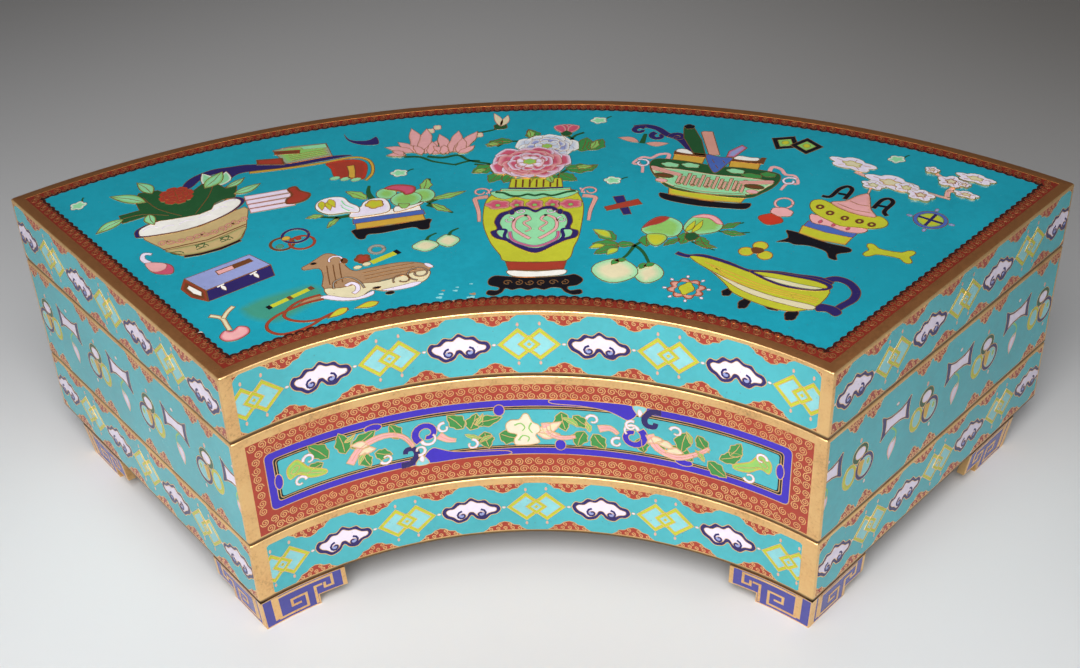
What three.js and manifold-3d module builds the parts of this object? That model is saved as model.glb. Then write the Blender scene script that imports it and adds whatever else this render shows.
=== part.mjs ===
// Fan-shaped box of enamelled copper in three tiers: a base tray on four bracket feet,
// a middle tray and a lid. Millimetres, +Z up, the concave side towards -Y,
// origin under the middle of the whole box, on the surface that it stands on.

import * as THREE from "three";
import { mergeVertices } from "three/addons/utils/BufferGeometryUtils.js";
import Module from "manifold-3d";

const wasm = await Module();
wasm.setup();

// ---- driving dimensions ----

// Plan: a sector of a ring. Both arcs share one centre and the sides are radial.
const HALF_ANGLE = THREE.MathUtils.degToRad(41.5);
const INNER_RADIUS = 145;
const OUTER_RADIUS = 300;

// Heights of the tiers, from the ground up.
const FOOT_HEIGHT = 15;
const BASE_HEIGHT = 27;
const MIDDLE_HEIGHT = 44.5;
const LID_HEIGHT = 26.5;

// Sheet-metal walls with enamel on both faces, and the air left between loose pieces.
const WALL = 3;
const FLOOR = 3;
const FIT_GAP = 0.3;
const EDGE_CHAMFER = 0.6;

// The upright lip inside a tray's mouth, which locates the piece above it.
const LIP_THICKNESS = 1.7;
const LIP_RISE = 4;
const LIP_ROOT = 6;

// Enamel fields: shallow beds framed by the bare gilt rims, edges and corner posts.
const BED_DEPTH = 0.5;
const POST_WIDTH = 6;
const SIDE_POST_WIDTH = 1.6;
const TOP_RIM = 4;
const MOUTH_RIM = 3;
const THIN_RIM = 1.4;

// Bracket feet: two wings that meet at a corner, each with a low toe and a raised hook.
const FOOT_THICKNESS = 3;
const FOOT_WING = 33;
const FOOT_TOE = 22;
const FOOT_HOOK_RISE = 5;
const FOOT_LEAN = 1.6;
const BACK_FOOT_RADIUS = 283;

const ARC_DIVISIONS = 12;
const FOOT_ARC_DIVISIONS = 3;

// ---- colours ----

const turquoiseEnamel = new THREE.MeshStandardMaterial({ color: 0x2fa3ad, roughness: 0.25, metalness: 0 });
const cobaltEnamel = new THREE.MeshStandardMaterial({ color: 0x43389a, roughness: 0.3, metalness: 0 });

// ---- solids ----

function solidOf(geometry) {
  geometry.deleteAttribute("normal");
  geometry.deleteAttribute("uv");
  const merged = mergeVertices(geometry);
  return new wasm.Manifold(new wasm.Mesh({
    numProp: 3,
    vertProperties: new Float32Array(merged.attributes.position.array),
    triVerts: new Uint32Array(merged.index.array),
  }));
}

function meshOf(solid, name, material) {
  const { vertProperties, triVerts } = solid.getMesh();
  const geometry = new THREE.BufferGeometry();
  geometry.setAttribute("position", new THREE.BufferAttribute(vertProperties, 3));
  geometry.setIndex(new THREE.BufferAttribute(triVerts, 1));
  geometry.computeVertexNormals();
  const mesh = new THREE.Mesh(geometry, material);
  mesh.name = name;
  return mesh;
}

// Angle of the corner of a fan whose sides are moved in by `inset`, on an arc of `radius`.
function cornerAngle(radius, inset) {
  return HALF_ANGLE - Math.asin(inset / radius);
}

// The piece of a ring between two radii and two angles measured from +Y towards +X.
function sectorShape(innerRadius, innerFrom, innerTo, outerRadius, outerFrom, outerTo) {
  const polar = (angle) => Math.PI / 2 - angle;
  const shape = new THREE.Shape();
  shape.absarc(0, 0, outerRadius, polar(outerTo), polar(outerFrom), false);
  shape.absarc(0, 0, innerRadius, polar(innerFrom), polar(innerTo), true);
  return shape;
}

// The box's outline, moved in by `inset` on all four sides.
function fanShape(inset) {
  const innerRadius = INNER_RADIUS + inset;
  const outerRadius = OUTER_RADIUS - inset;
  const inner = cornerAngle(innerRadius, inset);
  const outer = cornerAngle(outerRadius, inset);
  return sectorShape(innerRadius, -inner, inner, outerRadius, -outer, outer);
}

function extrude(shape, zLow, zHigh, chamfer = 0, divisions = ARC_DIVISIONS) {
  const geometry = new THREE.ExtrudeGeometry(shape, {
    depth: zHigh - zLow - 2 * chamfer,
    curveSegments: divisions,
    bevelEnabled: chamfer > 0,
    bevelThickness: chamfer,
    bevelSize: chamfer,
    bevelOffset: -chamfer,
    bevelSegments: 1,
  });
  geometry.translate(0, 0, zLow + chamfer);
  return solidOf(geometry);
}

function ring(outerInset, innerInset, zLow, zHigh) {
  return extrude(fanShape(outerInset), zLow, zHigh)
    .subtract(extrude(fanShape(innerInset), zLow - 1, zHigh + 1));
}

// A cutter one wall face deep, on the concave front (facing = 1) or the convex back (-1).
function arcBed(facing, post, zLow, zHigh) {
  const face = facing > 0 ? INNER_RADIUS : OUTER_RADIUS;
  const bed = face + facing * BED_DEPTH;
  const clear = face - facing;
  const reach = HALF_ANGLE - post / face;
  const shape = sectorShape(
    Math.min(bed, clear), -reach, reach, Math.max(bed, clear), -reach, reach);
  return extrude(shape, zLow, zHigh);
}

// The same on the straight left (-1) or right (1) side.
function sideBed(side, zLow, zHigh) {
  const length = OUTER_RADIUS - INNER_RADIUS - 2 * SIDE_POST_WIDTH;
  const depth = 2 * BED_DEPTH;
  const geometry = new THREE.BoxGeometry(depth, length, zHigh - zLow);
  geometry.translate(0, (INNER_RADIUS + OUTER_RADIUS) / 2, (zLow + zHigh) / 2);
  geometry.rotateZ(-side * HALF_ANGLE);
  return solidOf(geometry);
}

// Beds for the enamel on all four walls of a tier.
function cutWallBeds(tier, height, mouthRim, foldRim) {
  return tier
    .subtract(arcBed(1, POST_WIDTH, foldRim, height - mouthRim))
    .subtract(arcBed(-1, SIDE_POST_WIDTH, THIN_RIM, height - THIN_RIM))
    .subtract(sideBed(-1, THIN_RIM, height - THIN_RIM))
    .subtract(sideBed(1, THIN_RIM, height - THIN_RIM));
}

// ---- the three tiers, each with its lower edge at z = 0 ----

function lidSolid() {
  const shell = extrude(fanShape(0), 0, LID_HEIGHT, EDGE_CHAMFER)
    .subtract(extrude(fanShape(WALL), -1, LID_HEIGHT - FLOOR));
  const topBed = extrude(fanShape(TOP_RIM), LID_HEIGHT - BED_DEPTH, LID_HEIGHT + 1);
  return cutWallBeds(shell, LID_HEIGHT, THIN_RIM, THIN_RIM).subtract(topBed);
}

// An open tray whose floor stands `floorRise` above its lower edge.
function traySolid(height, floorRise) {
  const rim = height - FIT_GAP;
  let shell = extrude(fanShape(0), 0, rim, EDGE_CHAMFER)
    .subtract(extrude(fanShape(WALL), floorRise + FLOOR, rim + 1));
  if (floorRise > 0) {
    shell = shell.subtract(extrude(fanShape(WALL), -1, floorRise));
  }
  const lipInset = WALL + FIT_GAP;
  const lip = ring(lipInset, lipInset + LIP_THICKNESS, rim - LIP_ROOT, height + LIP_RISE);
  const lipRoot = ring(WALL - FIT_GAP, lipInset + LIP_THICKNESS, rim - LIP_ROOT, rim);
  return cutWallBeds(shell, rim, MOUTH_RIM, THIN_RIM).add(lip).add(lipRoot);
}

// ---- feet ----

// One wing along the arc and one along the straight side, meeting at a corner.
// `side` is 1 for the right and -1 for the left; `facing` is 1 in front and -1 behind.
function footSolid(side, facing) {
  const cornerRadius = facing > 0 ? INNER_RADIUS : BACK_FOOT_RADIUS;
  const top = FOOT_HEIGHT - FIT_GAP;
  const innerFace = cornerRadius + facing * FOOT_THICKNESS;
  const radii = [Math.min(cornerRadius, innerFace), Math.max(cornerRadius, innerFace)];
  const arcWing = (length, zLow) => {
    const angles = [HALF_ANGLE - length / cornerRadius, HALF_ANGLE].map((a) => side * a);
    const [from, to] = [Math.min(...angles), Math.max(...angles)];
    const shape = sectorShape(radii[0], from, to, radii[1], from, to);
    return extrude(shape, zLow, top, 0, FOOT_ARC_DIVISIONS);
  };
  const straightWing = (length, zLow) => {
    const geometry = new THREE.BoxGeometry(FOOT_THICKNESS, length, top - zLow);
    geometry.translate(-side * FOOT_THICKNESS / 2, cornerRadius + facing * length / 2, (top + zLow) / 2);
    geometry.rotateZ(-side * HALF_ANGLE);
    return solidOf(geometry);
  };
  return arcWing(FOOT_TOE, 0)
    .add(arcWing(FOOT_WING, FOOT_HOOK_RISE))
    .add(straightWing(FOOT_TOE, 0))
    .add(straightWing(FOOT_WING, FOOT_HOOK_RISE));
}

// A foot leans: its toe stands in from the corner by FOOT_LEAN on both faces.
function leanIn(geometry, side, facing) {
  const top = FOOT_HEIGHT - FIT_GAP;
  const sin = Math.sin(HALF_ANGLE);
  const cos = Math.cos(HALF_ANGLE);
  const leanX = side * FOOT_LEAN * (facing * sin - cos);
  const leanY = FOOT_LEAN * (facing * cos + sin);
  geometry.applyMatrix4(new THREE.Matrix4().makeShear(0, 0, 0, 0, -leanX / top, -leanY / top));
  geometry.translate(leanX, leanY, 0);
}

// ---- assembly ----

const box = new THREE.Group();
box.position.y = -(INNER_RADIUS * Math.cos(HALF_ANGLE) + OUTER_RADIUS) / 2;

for (const [facingName, facing] of [["front", 1], ["back", -1]]) {
  for (const [sideName, side] of [["left", -1], ["right", 1]]) {
    const foot = meshOf(footSolid(side, facing), `foot_${facingName}_${sideName}`, cobaltEnamel);
    leanIn(foot.geometry, side, facing);
    box.add(foot);
  }
}

const baseTray = meshOf(traySolid(BASE_HEIGHT, 0), "base_tray", turquoiseEnamel);
baseTray.position.z = FOOT_HEIGHT;
box.add(baseTray);

// The middle tray's floor is raised to clear the lip of the tray below.
const middleTray = meshOf(
  traySolid(MIDDLE_HEIGHT, LIP_RISE + 2 * FIT_GAP), "middle_tray", turquoiseEnamel);
middleTray.position.z = FOOT_HEIGHT + BASE_HEIGHT;
box.add(middleTray);

const lid = meshOf(lidSolid(), "lid", turquoiseEnamel);
lid.position.z = FOOT_HEIGHT + BASE_HEIGHT + MIDDLE_HEIGHT;
box.add(lid);

export default box;
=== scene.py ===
"""Looks of a fan-shaped tiered box of enamelled copper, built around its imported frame."""

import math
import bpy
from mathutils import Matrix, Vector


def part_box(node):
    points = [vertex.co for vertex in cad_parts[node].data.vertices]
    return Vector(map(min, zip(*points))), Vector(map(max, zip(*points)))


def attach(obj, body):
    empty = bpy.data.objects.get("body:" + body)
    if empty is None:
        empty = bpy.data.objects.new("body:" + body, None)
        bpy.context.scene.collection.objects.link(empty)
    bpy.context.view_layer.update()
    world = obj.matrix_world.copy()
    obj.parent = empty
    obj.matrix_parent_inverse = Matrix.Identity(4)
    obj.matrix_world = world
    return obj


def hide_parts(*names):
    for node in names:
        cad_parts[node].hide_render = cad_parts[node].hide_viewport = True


bl_info = {
    "name": "Fan-shaped enamel box",
    "version": (1, 0, 0),
    "blender": (4, 5, 0),
    "location": "View3D > Sidebar > Enamel Box",
    "description": "Builds the gilt tiers, the enamels, the bracket feet and the stage of a tiered box",
    "category": "Object",
}

from contextlib import contextmanager

import bmesh
import bpy
import numpy as np
from mathutils import Matrix, Vector

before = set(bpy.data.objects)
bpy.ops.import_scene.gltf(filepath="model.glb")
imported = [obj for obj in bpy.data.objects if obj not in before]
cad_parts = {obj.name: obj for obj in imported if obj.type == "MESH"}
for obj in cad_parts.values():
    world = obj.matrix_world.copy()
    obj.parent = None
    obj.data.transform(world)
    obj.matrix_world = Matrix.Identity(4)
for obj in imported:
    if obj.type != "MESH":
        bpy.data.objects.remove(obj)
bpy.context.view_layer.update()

MM = 1000.0  # millimetres in a metre
ENAMEL, GILT = 0, 1  # material slots of every inlaid piece
LAYER = 0.03  # how far one cell stands over the cell below it, mm
BED_GAP = 0.02  # how far the walls' grounds stay off the floors of their beds, mm
SLICE = 3.0  # width of the strips that follow a curved wall, mm
LAPPET_CURL = (0.95, 1.3, 9)  # radius in mm, turns and points of the lappets' curls
PANEL_CURL = (1.74, 1.8, 15)  # the same for the scroll panel's red ground
FRET_WIDTH = 1.05  # width of the feet's fret lines, mm
FINE = 0.2  # thickness of the wire round small cells, mm
ROOT = 0.05  # how deep a cell is set into what it lies on, mm
SINK = 0.01  # how far enamel shrinks below its wires in firing, mm
LIP_ROOT = 6.0  # how far a tray's lip is soldered down inside its mouth, mm
BORDER_WIDTH = 4.3  # the lid's red border between its gilt strip and its dark edge, mm
BORDER_PITCH = 3.9  # spacing of the border's curls and scallops, mm
BORDER_EDGE = 0.5  # width of the border's plain dark edge, mm
SCUFFS = (-29, 158)  # where the lid's ground is scuffed, beside the vase, mm
FRONT_PITCH = 23.6  # spacing of the motifs on the concave front, mm
SIDE_PITCH = 22.4  # spacing on the straight sides, mm
BACK_PITCH = 22.9  # spacing on the convex back, mm
SIDE_START = 13.5  # first whole motif on a side wall, counted from the front corner, mm
RING_START = 22.0  # first ring motif on a side wall, counted from the front corner, mm
RING_PITCH = 41.2  # spacing of the ring motifs on the middle tray, mm
CURL_PITCH = 3.7  # spacing of the wire curls round the scroll panel, mm
PANEL_MIDDLE = 22.3  # height of the scroll panel's middle over the middle tray's lower edge, mm


def srgb(code):
    """A hex colour code as linear red, green and blue."""
    parts = [int(code[i:i + 2], 16) / 255 for i in (0, 2, 4)]
    return tuple(p / 12.92 if p <= 0.04045 else ((p + 0.055) / 1.055) ** 2.4 for p in parts)


def length(name, metres, description):
    return bpy.props.FloatProperty(
        name=name, description=description, default=metres, min=0.0, unit="LENGTH", precision=5)


def colour(name, code, description):
    return bpy.props.FloatVectorProperty(
        name=name, description=description, default=srgb(code), size=3, min=0.0, max=1.0, subtype="COLOR")


# ---- sizes and colours that a user would change ----

class FanBoxSizes(bpy.types.PropertyGroup):
    half_angle: bpy.props.FloatProperty(
        name="Half angle", description="Half of the angle between the straight sides",
        default=math.radians(41.5), subtype="ANGLE")
    inner_radius: length("Inner radius", 0.145, "Radius of the concave front")
    wall: length("Wall", 0.003, "Thickness of a wall and of a floor")
    fit_gap: length("Fit gap", 0.0003, "Air between loose pieces")
    edge_round: length("Edge rounding", 0.0006, "Rounding of the gilt edges")
    bed: length("Bed depth", 0.0005, "Depth of the beds that hold the enamel")
    base_post: length("Base post", 0.006, "Width of the base tray's bare corner posts in front")
    upper_post: length(
        "Upper post", 0.0044, "Width of the middle tray's and the lid's bare corner posts in front")
    side_post: length("Side post", 0.0016, "Width of the bare strips at the other corners")
    top_rim: length("Top rim", 0.004, "Width of the bare strip around the lid's picture")
    mouth_rim: length("Mouth rim", 0.003, "Height of the bare strip at a tray's mouth in front")
    thin_rim: length("Thin rim", 0.0014, "Height of the other bare strips")
    lip: length("Lip", 0.0017, "Thickness of the lip inside a tray's mouth")
    lip_rise: length("Lip rise", 0.004, "How far the lip stands into the piece above")
    wire: length("Wire", 0.00032, "Thickness of the gilt wires")
    foot_toe: length("Toe", 0.022, "Length of a foot's toe from the corner")
    foot_wing: length("Wing", 0.033, "Length of a foot's whole wing from the corner")
    foot_thickness: length("Foot thickness", 0.003, "Thickness of a foot's wing")
    foot_hook: length("Hook rise", 0.005, "Height of the wing's raised end over the ground")
    foot_lean: length("Foot lean", 0.0016, "How far a toe stands in from the corner")
    back_foot_radius: length("Back foot radius", 0.283, "Radius of the back feet's corners")


class EnamelColours(bpy.types.PropertyGroup):
    turquoise: colour("Turquoise", "1C98AB", "Ground of the lid's picture and the inside")
    aqua: colour("Aqua", "4BADB5", "Ground of the walls")
    sky: colour("Pale turquoise", "8ACBCE", "Inside of the lozenges")
    cobalt: colour("Cobalt", "3D2CB2", "Scroll frame of the middle tray")
    slate: colour("Slate blue", "4A4A9A", "Enamel of the feet")
    indigo: colour("Indigo", "2E2560", "Outlines of clouds and handles")
    azure: colour("Blue", "4A66B0", "Blue bands and cloths of the picture")
    lilac: colour("Lilac white", "E9DDEE", "Clouds, tendrils and pale petals")
    violet: colour("Pale violet", "949CCC", "Curls, tendrils and the case of books")
    white: colour("White", "F3EFE6", "Flowers, feet of vessels and pages")
    ivory: colour("Ivory", "E6DAC0", "White flower of the scroll panel")
    frost: colour("Bluish white", "C6CFE0", "Shaded white petals")
    cream: colour("Cream", "DFD3AC", "Ivory and shaded whites")
    pink: colour("Pink", "E8A9A8", "Petals, scrolls and handles")
    rose: colour("Rose", "C8566E", "Hearts of pink petals")
    red: colour("Brick red", "A33C2C", "Lappets, rings and the scroll panel's border")
    maroon: colour("Dark red", "7E2A1E", "Border of the lid's picture")
    coral: colour("Coral", "C23A26", "Bright red details")
    brown: colour("Brown", "6E4024", "Cords, books and hearts")
    gold: colour("Ochre", "D2A640", "Yellow bands and hearts of flowers")
    lemon: colour("Yellow green", "BFC033", "Lozenges, vessels and yellow flowers")
    sand: colour("Sand", "C4AA76", "Upper half of the basin")
    khaki: colour("Khaki", "A3A468", "Lower half of the basin")
    tan: colour("Tan", "A98462", "The ram, the inlaid rod and the scuffs")
    salmon: colour("Salmon", "D99C8A", "Magnolias, scrolls and the censer's lid")
    moss: colour("Moss green", "3E8F7A", "A green clouding in the ground")
    lime: colour("Light green", "8CC063", "Light leaves and shaded fruit")
    green: colour("Green", "3F8A45", "Leaves")
    pine: colour("Dark green", "24552F", "Dark leaves")
    mint: colour("Mint", "93D7A2", "Peaches, persimmons and cloths")
    soot: colour("Dark brown", "3B1814", "Scalloped edge of the lid's border")
    black: colour("Black", "15131A", "Stands, handles and inner lines")
    ash: colour("Grey", "9C9A90", "Curls of the fleece and shaded pages")
    gilt: colour("Gilt", "F5CB8C", "Bright fire gilding")
    # Copper also gives the painted shade of the gilding's upward-facing flats
    copper: colour("Copper", "CE8650", "Worn gilding and copper in the hollows")


class BoxStage(bpy.types.PropertyGroup):
    azimuth: bpy.props.FloatProperty(
        name="Azimuth", description="Camera's bearing, to the right of the front",
        default=math.radians(2.92), subtype="ANGLE")
    elevation: bpy.props.FloatProperty(
        name="Elevation", description="How far the camera looks down", default=math.radians(35.0),
        subtype="ANGLE")
    roll: bpy.props.FloatProperty(
        name="Roll", description="Camera's tilt about its own axis", default=math.radians(-2.27),
        subtype="ANGLE")
    lens: bpy.props.FloatProperty(
        name="Lens", description="Focal length on a 36 mm sensor", default=51.45, unit="CAMERA")
    camera_place: bpy.props.FloatVectorProperty(
        name="Camera place", description="Camera's place in the frame", default=(0.0253, -0.4811, 0.3995),
        subtype="TRANSLATION")
    key_power: bpy.props.FloatProperty(
        name="Key light", description="Power of the low front softbox", default=7.5, min=0.0, unit="POWER")
    side_power: bpy.props.FloatProperty(
        name="Side light", description="Power of the left softbox", default=0.3, min=0.0, unit="POWER")
    top_power: bpy.props.FloatProperty(
        name="Top light", description="Power of the overhead softbox", default=1.2, min=0.0, unit="POWER")
    ambient: bpy.props.FloatProperty(
        name="Ambient", description="Brightness of the room", default=0.18, min=0.0)


def sizes():
    return bpy.context.scene.fan_box_sizes


def mm(name):
    """One of the box's sizes in millimetres."""
    return getattr(sizes(), name) * MM


def paint(name):
    """One of the enamel colours with full opacity."""
    return (*getattr(bpy.context.scene.enamel_colours, name), 1.0)


# ---- the plan of the box ----

class FanPlan:
    """The fan's plan and the levels of its tiers, in millimetres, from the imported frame."""

    def __init__(self):
        low, high = (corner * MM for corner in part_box("lid"))
        self.angle = sizes().half_angle
        self.inner = mm("inner_radius")
        self.outer = (high.x - low.x) / 2 / math.sin(self.angle)
        self.centre_y = high.y - self.outer
        self.top = high.z
        base, middle, lid = (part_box(node)[0].z * MM for node in ("base_tray", "middle_tray", "lid"))
        gap = mm("fit_gap")
        self.tiers = {
            "base_tray": (base, middle - gap), "middle_tray": (middle, lid - gap), "lid": (lid, high.z)}
        self.front = self.inner * self.angle  # half lengths of the arcs
        self.back = self.outer * self.angle
        self.side = self.outer - self.inner

    def corner_angle(self, radius, inset):
        """Angle of a corner on an arc of `radius` when the straight sides are moved in."""
        return self.angle - math.asin(inset / radius)

    def point(self, radius, angle, z):
        return Vector((radius * math.sin(angle), radius * math.cos(angle) + self.centre_y, z))


ALL_WALLS = ("front", "right", "back", "left")
FRONT_STEPS = 72
BACK_STEPS = 76


def front_post(tier):
    """Width of a tier's bare corner posts in front, mm."""
    return mm("base_post" if tier == "base_tray" else "upper_post")


def stations(plan, post):
    """Points around the fan: the wall that each is on and how far along it is, from -1 to 1."""
    def spread(steps, post_share):
        inner = 1 - post_share
        return [-1.0, *np.linspace(-inner, inner, steps), 1.0]
    front = spread(FRONT_STEPS, post / plan.front)
    back = spread(BACK_STEPS, mm("side_post") / plan.back)
    side = spread(2, mm("side_post") / plan.side * 2)
    around = [("front", t) for t in front[:-1]] + [("right", t) for t in side[:-1]]
    return around + [("back", -t) for t in back[:-1]] + [("left", -t) for t in side[:-1]]


def station_point(plan, station, inset, z):
    """Where a station lies on the outline moved in by `inset`."""
    wall, t = station
    near, far = plan.inner + inset, plan.outer - inset
    near_angle, far_angle = plan.corner_angle(near, inset), plan.corner_angle(far, inset)
    if wall == "front":
        return plan.point(near, near_angle * t, z)
    if wall == "back":
        return plan.point(far, far_angle * t, z)
    sign = 1 if wall == "right" else -1
    low, high = plan.point(near, sign * near_angle, z), plan.point(far, sign * far_angle, z)
    return low.lerp(high, (t + 1) / 2)


def new_loops(bm, edges):
    """Extrudes a loop of edges and gives the new edges, vertices and faces."""
    made = bmesh.ops.extrude_edge_only(bm, edges=edges)["geom"]
    kinds = (bmesh.types.BMEdge, bmesh.types.BMVert, bmesh.types.BMFace)
    new_edges, verts, faces = ([g for g in made if isinstance(g, kind)] for kind in kinds)
    own = set(verts)
    return [e for e in new_edges if e.verts[0] in own and e.verts[1] in own], verts, faces


def fan_shell(plan, profile, post):
    """Sweeps a profile of (inset, z, finish, walls with a bed) round the fan and closes both ends."""
    bm = bmesh.new()
    mark = bm.verts.layers.int.new("station")
    around = stations(plan, post)
    inset, z, finish, _ = profile[0]
    verts = [bm.verts.new(station_point(plan, s, inset, z)) for s in around]
    for number, vert in enumerate(verts):
        vert[mark] = number
    cap = bm.faces.new(verts)
    cap.material_index = finish
    edges = list(cap.edges)
    bedded = []
    for inset, z, finish, walls in profile[1:]:
        edges, verts, faces = new_loops(bm, edges)
        for vert in verts:
            vert.co = station_point(plan, around[vert[mark]], inset, z)
        for face in faces:
            face.material_index = finish
        bedded += [(face, walls) for face in faces if walls]
    last = bmesh.ops.edgeloop_fill(bm, edges=edges)["faces"]
    for face in last:
        face.material_index = finish
    bmesh.ops.recalc_face_normals(bm, faces=bm.faces)
    sink_beds(bm, around, mark, bedded)
    round_corners(bm, plan, around, mark)
    return bm


def sink_beds(bm, around, mark, bedded):
    """Presses the enamel beds into the four walls, between their posts."""
    for wall in ALL_WALLS:
        bed = []
        for face in (face for face, walls in bedded if wall in walls):
            marks = [around[v[mark]] for v in face.verts]
            here = [m for m in marks if m[0] == wall]
            if len(here) == len(marks) and all(abs(m[1]) < 1 for m in here):
                bed.append(face)
        if bed:
            bmesh.ops.inset_region(
                bm, faces=bed, thickness=0.0, depth=-mm("bed"), use_boundary=True, use_even_offset=True)


def round_corners(bm, plan, around, mark):
    """Rounds the upright outer edges at the four corners."""
    corners = {n: station_point(plan, m, 0, 0).xy for n, m in enumerate(around) if abs(m[1]) == 1}
    reach = 1.5 * mm("edge_round")
    upright = []
    for edge in bm.edges:
        a, b = edge.verts
        if a[mark] == b[mark] and a[mark] in corners:
            if all((v.co.xy - corners[v[mark]]).length < reach for v in (a, b)):
                upright.append(edge)
    bmesh.ops.bevel(
        bm, geom=upright, offset=mm("edge_round"), offset_type="OFFSET", segments=2, profile=0.5,
        affect="EDGES", clamp_overlap=True, material=-1)


def rounded_edge(z, upwards):
    """Profile points over the top edge of a wall, or round from under its lower edge."""
    radius = mm("edge_round")
    turns = [math.pi / 2 * k / 3 for k in range(4)]
    quarter = [(radius * (1 - math.cos(a)), radius * (1 - math.sin(a))) for a in turns]
    if upwards:
        return [(inset, z - drop, GILT, ()) for inset, drop in quarter]
    return [(inset, z + drop, GILT, ()) for inset, drop in reversed(quarter)]


# ---- finished pieces ----

def link_piece(name, mesh, materials, slot, *nodes):
    """Puts a mesh in the scene as a piece of the box."""
    for material in materials:
        mesh.materials.append(material)
    mesh.shade_smooth()
    mesh.set_sharp_from_angle(angle=math.radians(25))
    piece = bpy.data.objects.new(name, mesh)
    bpy.context.scene.collection.objects.link(piece)
    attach(piece, "root")
    if nodes:
        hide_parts(*nodes)
    return piece


def mesh_from(bm, name, surface=None, mirrored_surface=False):
    """A mesh in metres from a bmesh in millimetres, laid on a surface if one is given."""
    mesh = bpy.data.meshes.new(name)
    bm.to_mesh(mesh)
    bm.free()
    spots = np.empty(len(mesh.vertices) * 3)
    mesh.vertices.foreach_get("co", spots)
    spots = spots.reshape(-1, 3)
    if surface:
        spots = surface(*spots.T)
    mesh.vertices.foreach_set("co", (spots / MM).ravel())
    if mirrored_surface:
        mesh.flip_normals()
    mesh.update()
    return mesh


# ---- outlines, in millimetres ----

def ellipse(width, height, x=0.0, y=0.0, n=20, start=0.0, end=360.0):
    full = end - start >= 360
    turns = np.radians(np.linspace(start, end, n, endpoint=not full))
    return [(x + width / 2 * math.cos(a), y + height / 2 * math.sin(a)) for a in turns]


def oblong(width, low, high):
    """An upright oblong with the line u = 0 in its middle."""
    w = width / 2
    return [(-w, low), (w, low), (w, high), (-w, high)]


def diamond(width, height, x=0.0):
    """A lozenge with its middle on the line v = 0."""
    return [(x - width / 2, 0), (x, -height / 2), (x + width / 2, 0), (x, height / 2)]


def smooth(points, steps=4, closed=True):
    """A curve through given points."""
    p = np.array(points, float)
    count = len(p)
    out = []
    for i in range(count if closed else count - 1):
        if closed:
            a, b, c, d = (p[(i + k) % count] for k in (-1, 0, 1, 2))
        else:
            a, b, c, d = p[max(i - 1, 0)], p[i], p[i + 1], p[min(i + 2, count - 1)]
        for t in np.arange(steps) / steps:
            out.append(tuple(0.5 * (
                2 * b + (c - a) * t + (2 * a - 5 * b + 4 * c - d) * t * t
                + (3 * b - a - 3 * c + d) * t ** 3)))
    if not closed:
        out.append(tuple(p[-1]))
    return out


def band(path, width, end_width=None):
    """The outline of a band that follows a path, from one width to another."""
    p = np.array(path, float)
    along = np.gradient(p, axis=0)
    along /= np.linalg.norm(along, axis=1)[:, None] + 1e-9
    across = np.stack([-along[:, 1], along[:, 0]], 1)
    widths = np.linspace(width, width if end_width is None else end_width, len(p))[:, None] / 2
    return [tuple(q) for q in p + across * widths] + [tuple(q) for q in (p - across * widths)[::-1]]


def spiral(radius, turns, start=0.0, handed=1, inner=0.15, n=18, x=0.0, y=0.0):
    """A path that winds from the rim of a circle towards its middle."""
    path = []
    for t in np.linspace(0, 1, n):
        a = math.radians(start) + handed * 2 * math.pi * turns * t
        r = radius * (1 - (1 - inner) * t)
        path.append((x + r * math.cos(a), y + r * math.sin(a)))
    return path


def leaf(long, wide, bend=0.0, lobes=0):
    """A leaf from its stalk at the origin to its tip, up the page."""
    side = []
    for t in np.linspace(0, 1, 8 + 2 * lobes):
        half = wide / 2 * math.sin(math.pi * t ** 0.85)
        if lobes:
            half *= 0.82 + 0.3 * abs(math.sin(math.pi * lobes * t))
        side.append((half, bend * math.sin(math.pi * t), long * t))
    right = [(b + h, y) for h, b, y in side]
    left = [(b - h, y) for h, b, y in side[1:-1]]
    return right + left[::-1]


def petal(long, wide, notch=0.0):
    """A petal with a broad rounded end."""
    side = [
        (wide / 2 * math.sin(math.pi * t) ** 0.75 * (0.45 + 0.75 * t), long * t ** 0.9)
        for t in np.linspace(0, 1, 9)]
    tip = [(0, long * (1 - notch))]
    return side[:-1] + tip + [(-x, y) for x, y in side[1:-1]][::-1]


def lobed(width, height, lobes, depth=0.12, x=0.0, y=0.0, phase=0.0):
    """An oval with a scalloped edge."""
    out = []
    count = 5 * lobes
    for k in range(count):
        a = 2 * math.pi * k / count
        swell = 1 - depth + depth * abs(math.sin(lobes * (a + math.radians(phase)) / 2)) * 1.6
        out.append((x + width / 2 * swell * math.cos(a), y + height / 2 * swell * math.sin(a)))
    return out


def crosses_itself(points):
    """True when a closed outline cuts itself."""
    a = np.array([(p.x, p.y) for p in points])
    b = np.roll(a, -1, 0)

    def side(p, q, r):
        along, across = q - p, r - p
        return along[..., 0] * across[..., 1] - along[..., 1] * across[..., 0]
    here, there = (a[:, None], b[:, None]), (a[None], b[None])
    parted = side(*here, there[0]) * side(*here, there[1]) < 0
    return bool((parted & (side(*there, here[0]) * side(*there, here[1]) < 0)).any())


def mirrored(half):
    """A symmetrical outline from its right half, listed from the bottom up."""
    return list(half) + [(-x, y) for x, y in reversed(half) if abs(x) > 1e-6]


# ---- drawing with wires and enamel ----

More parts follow.
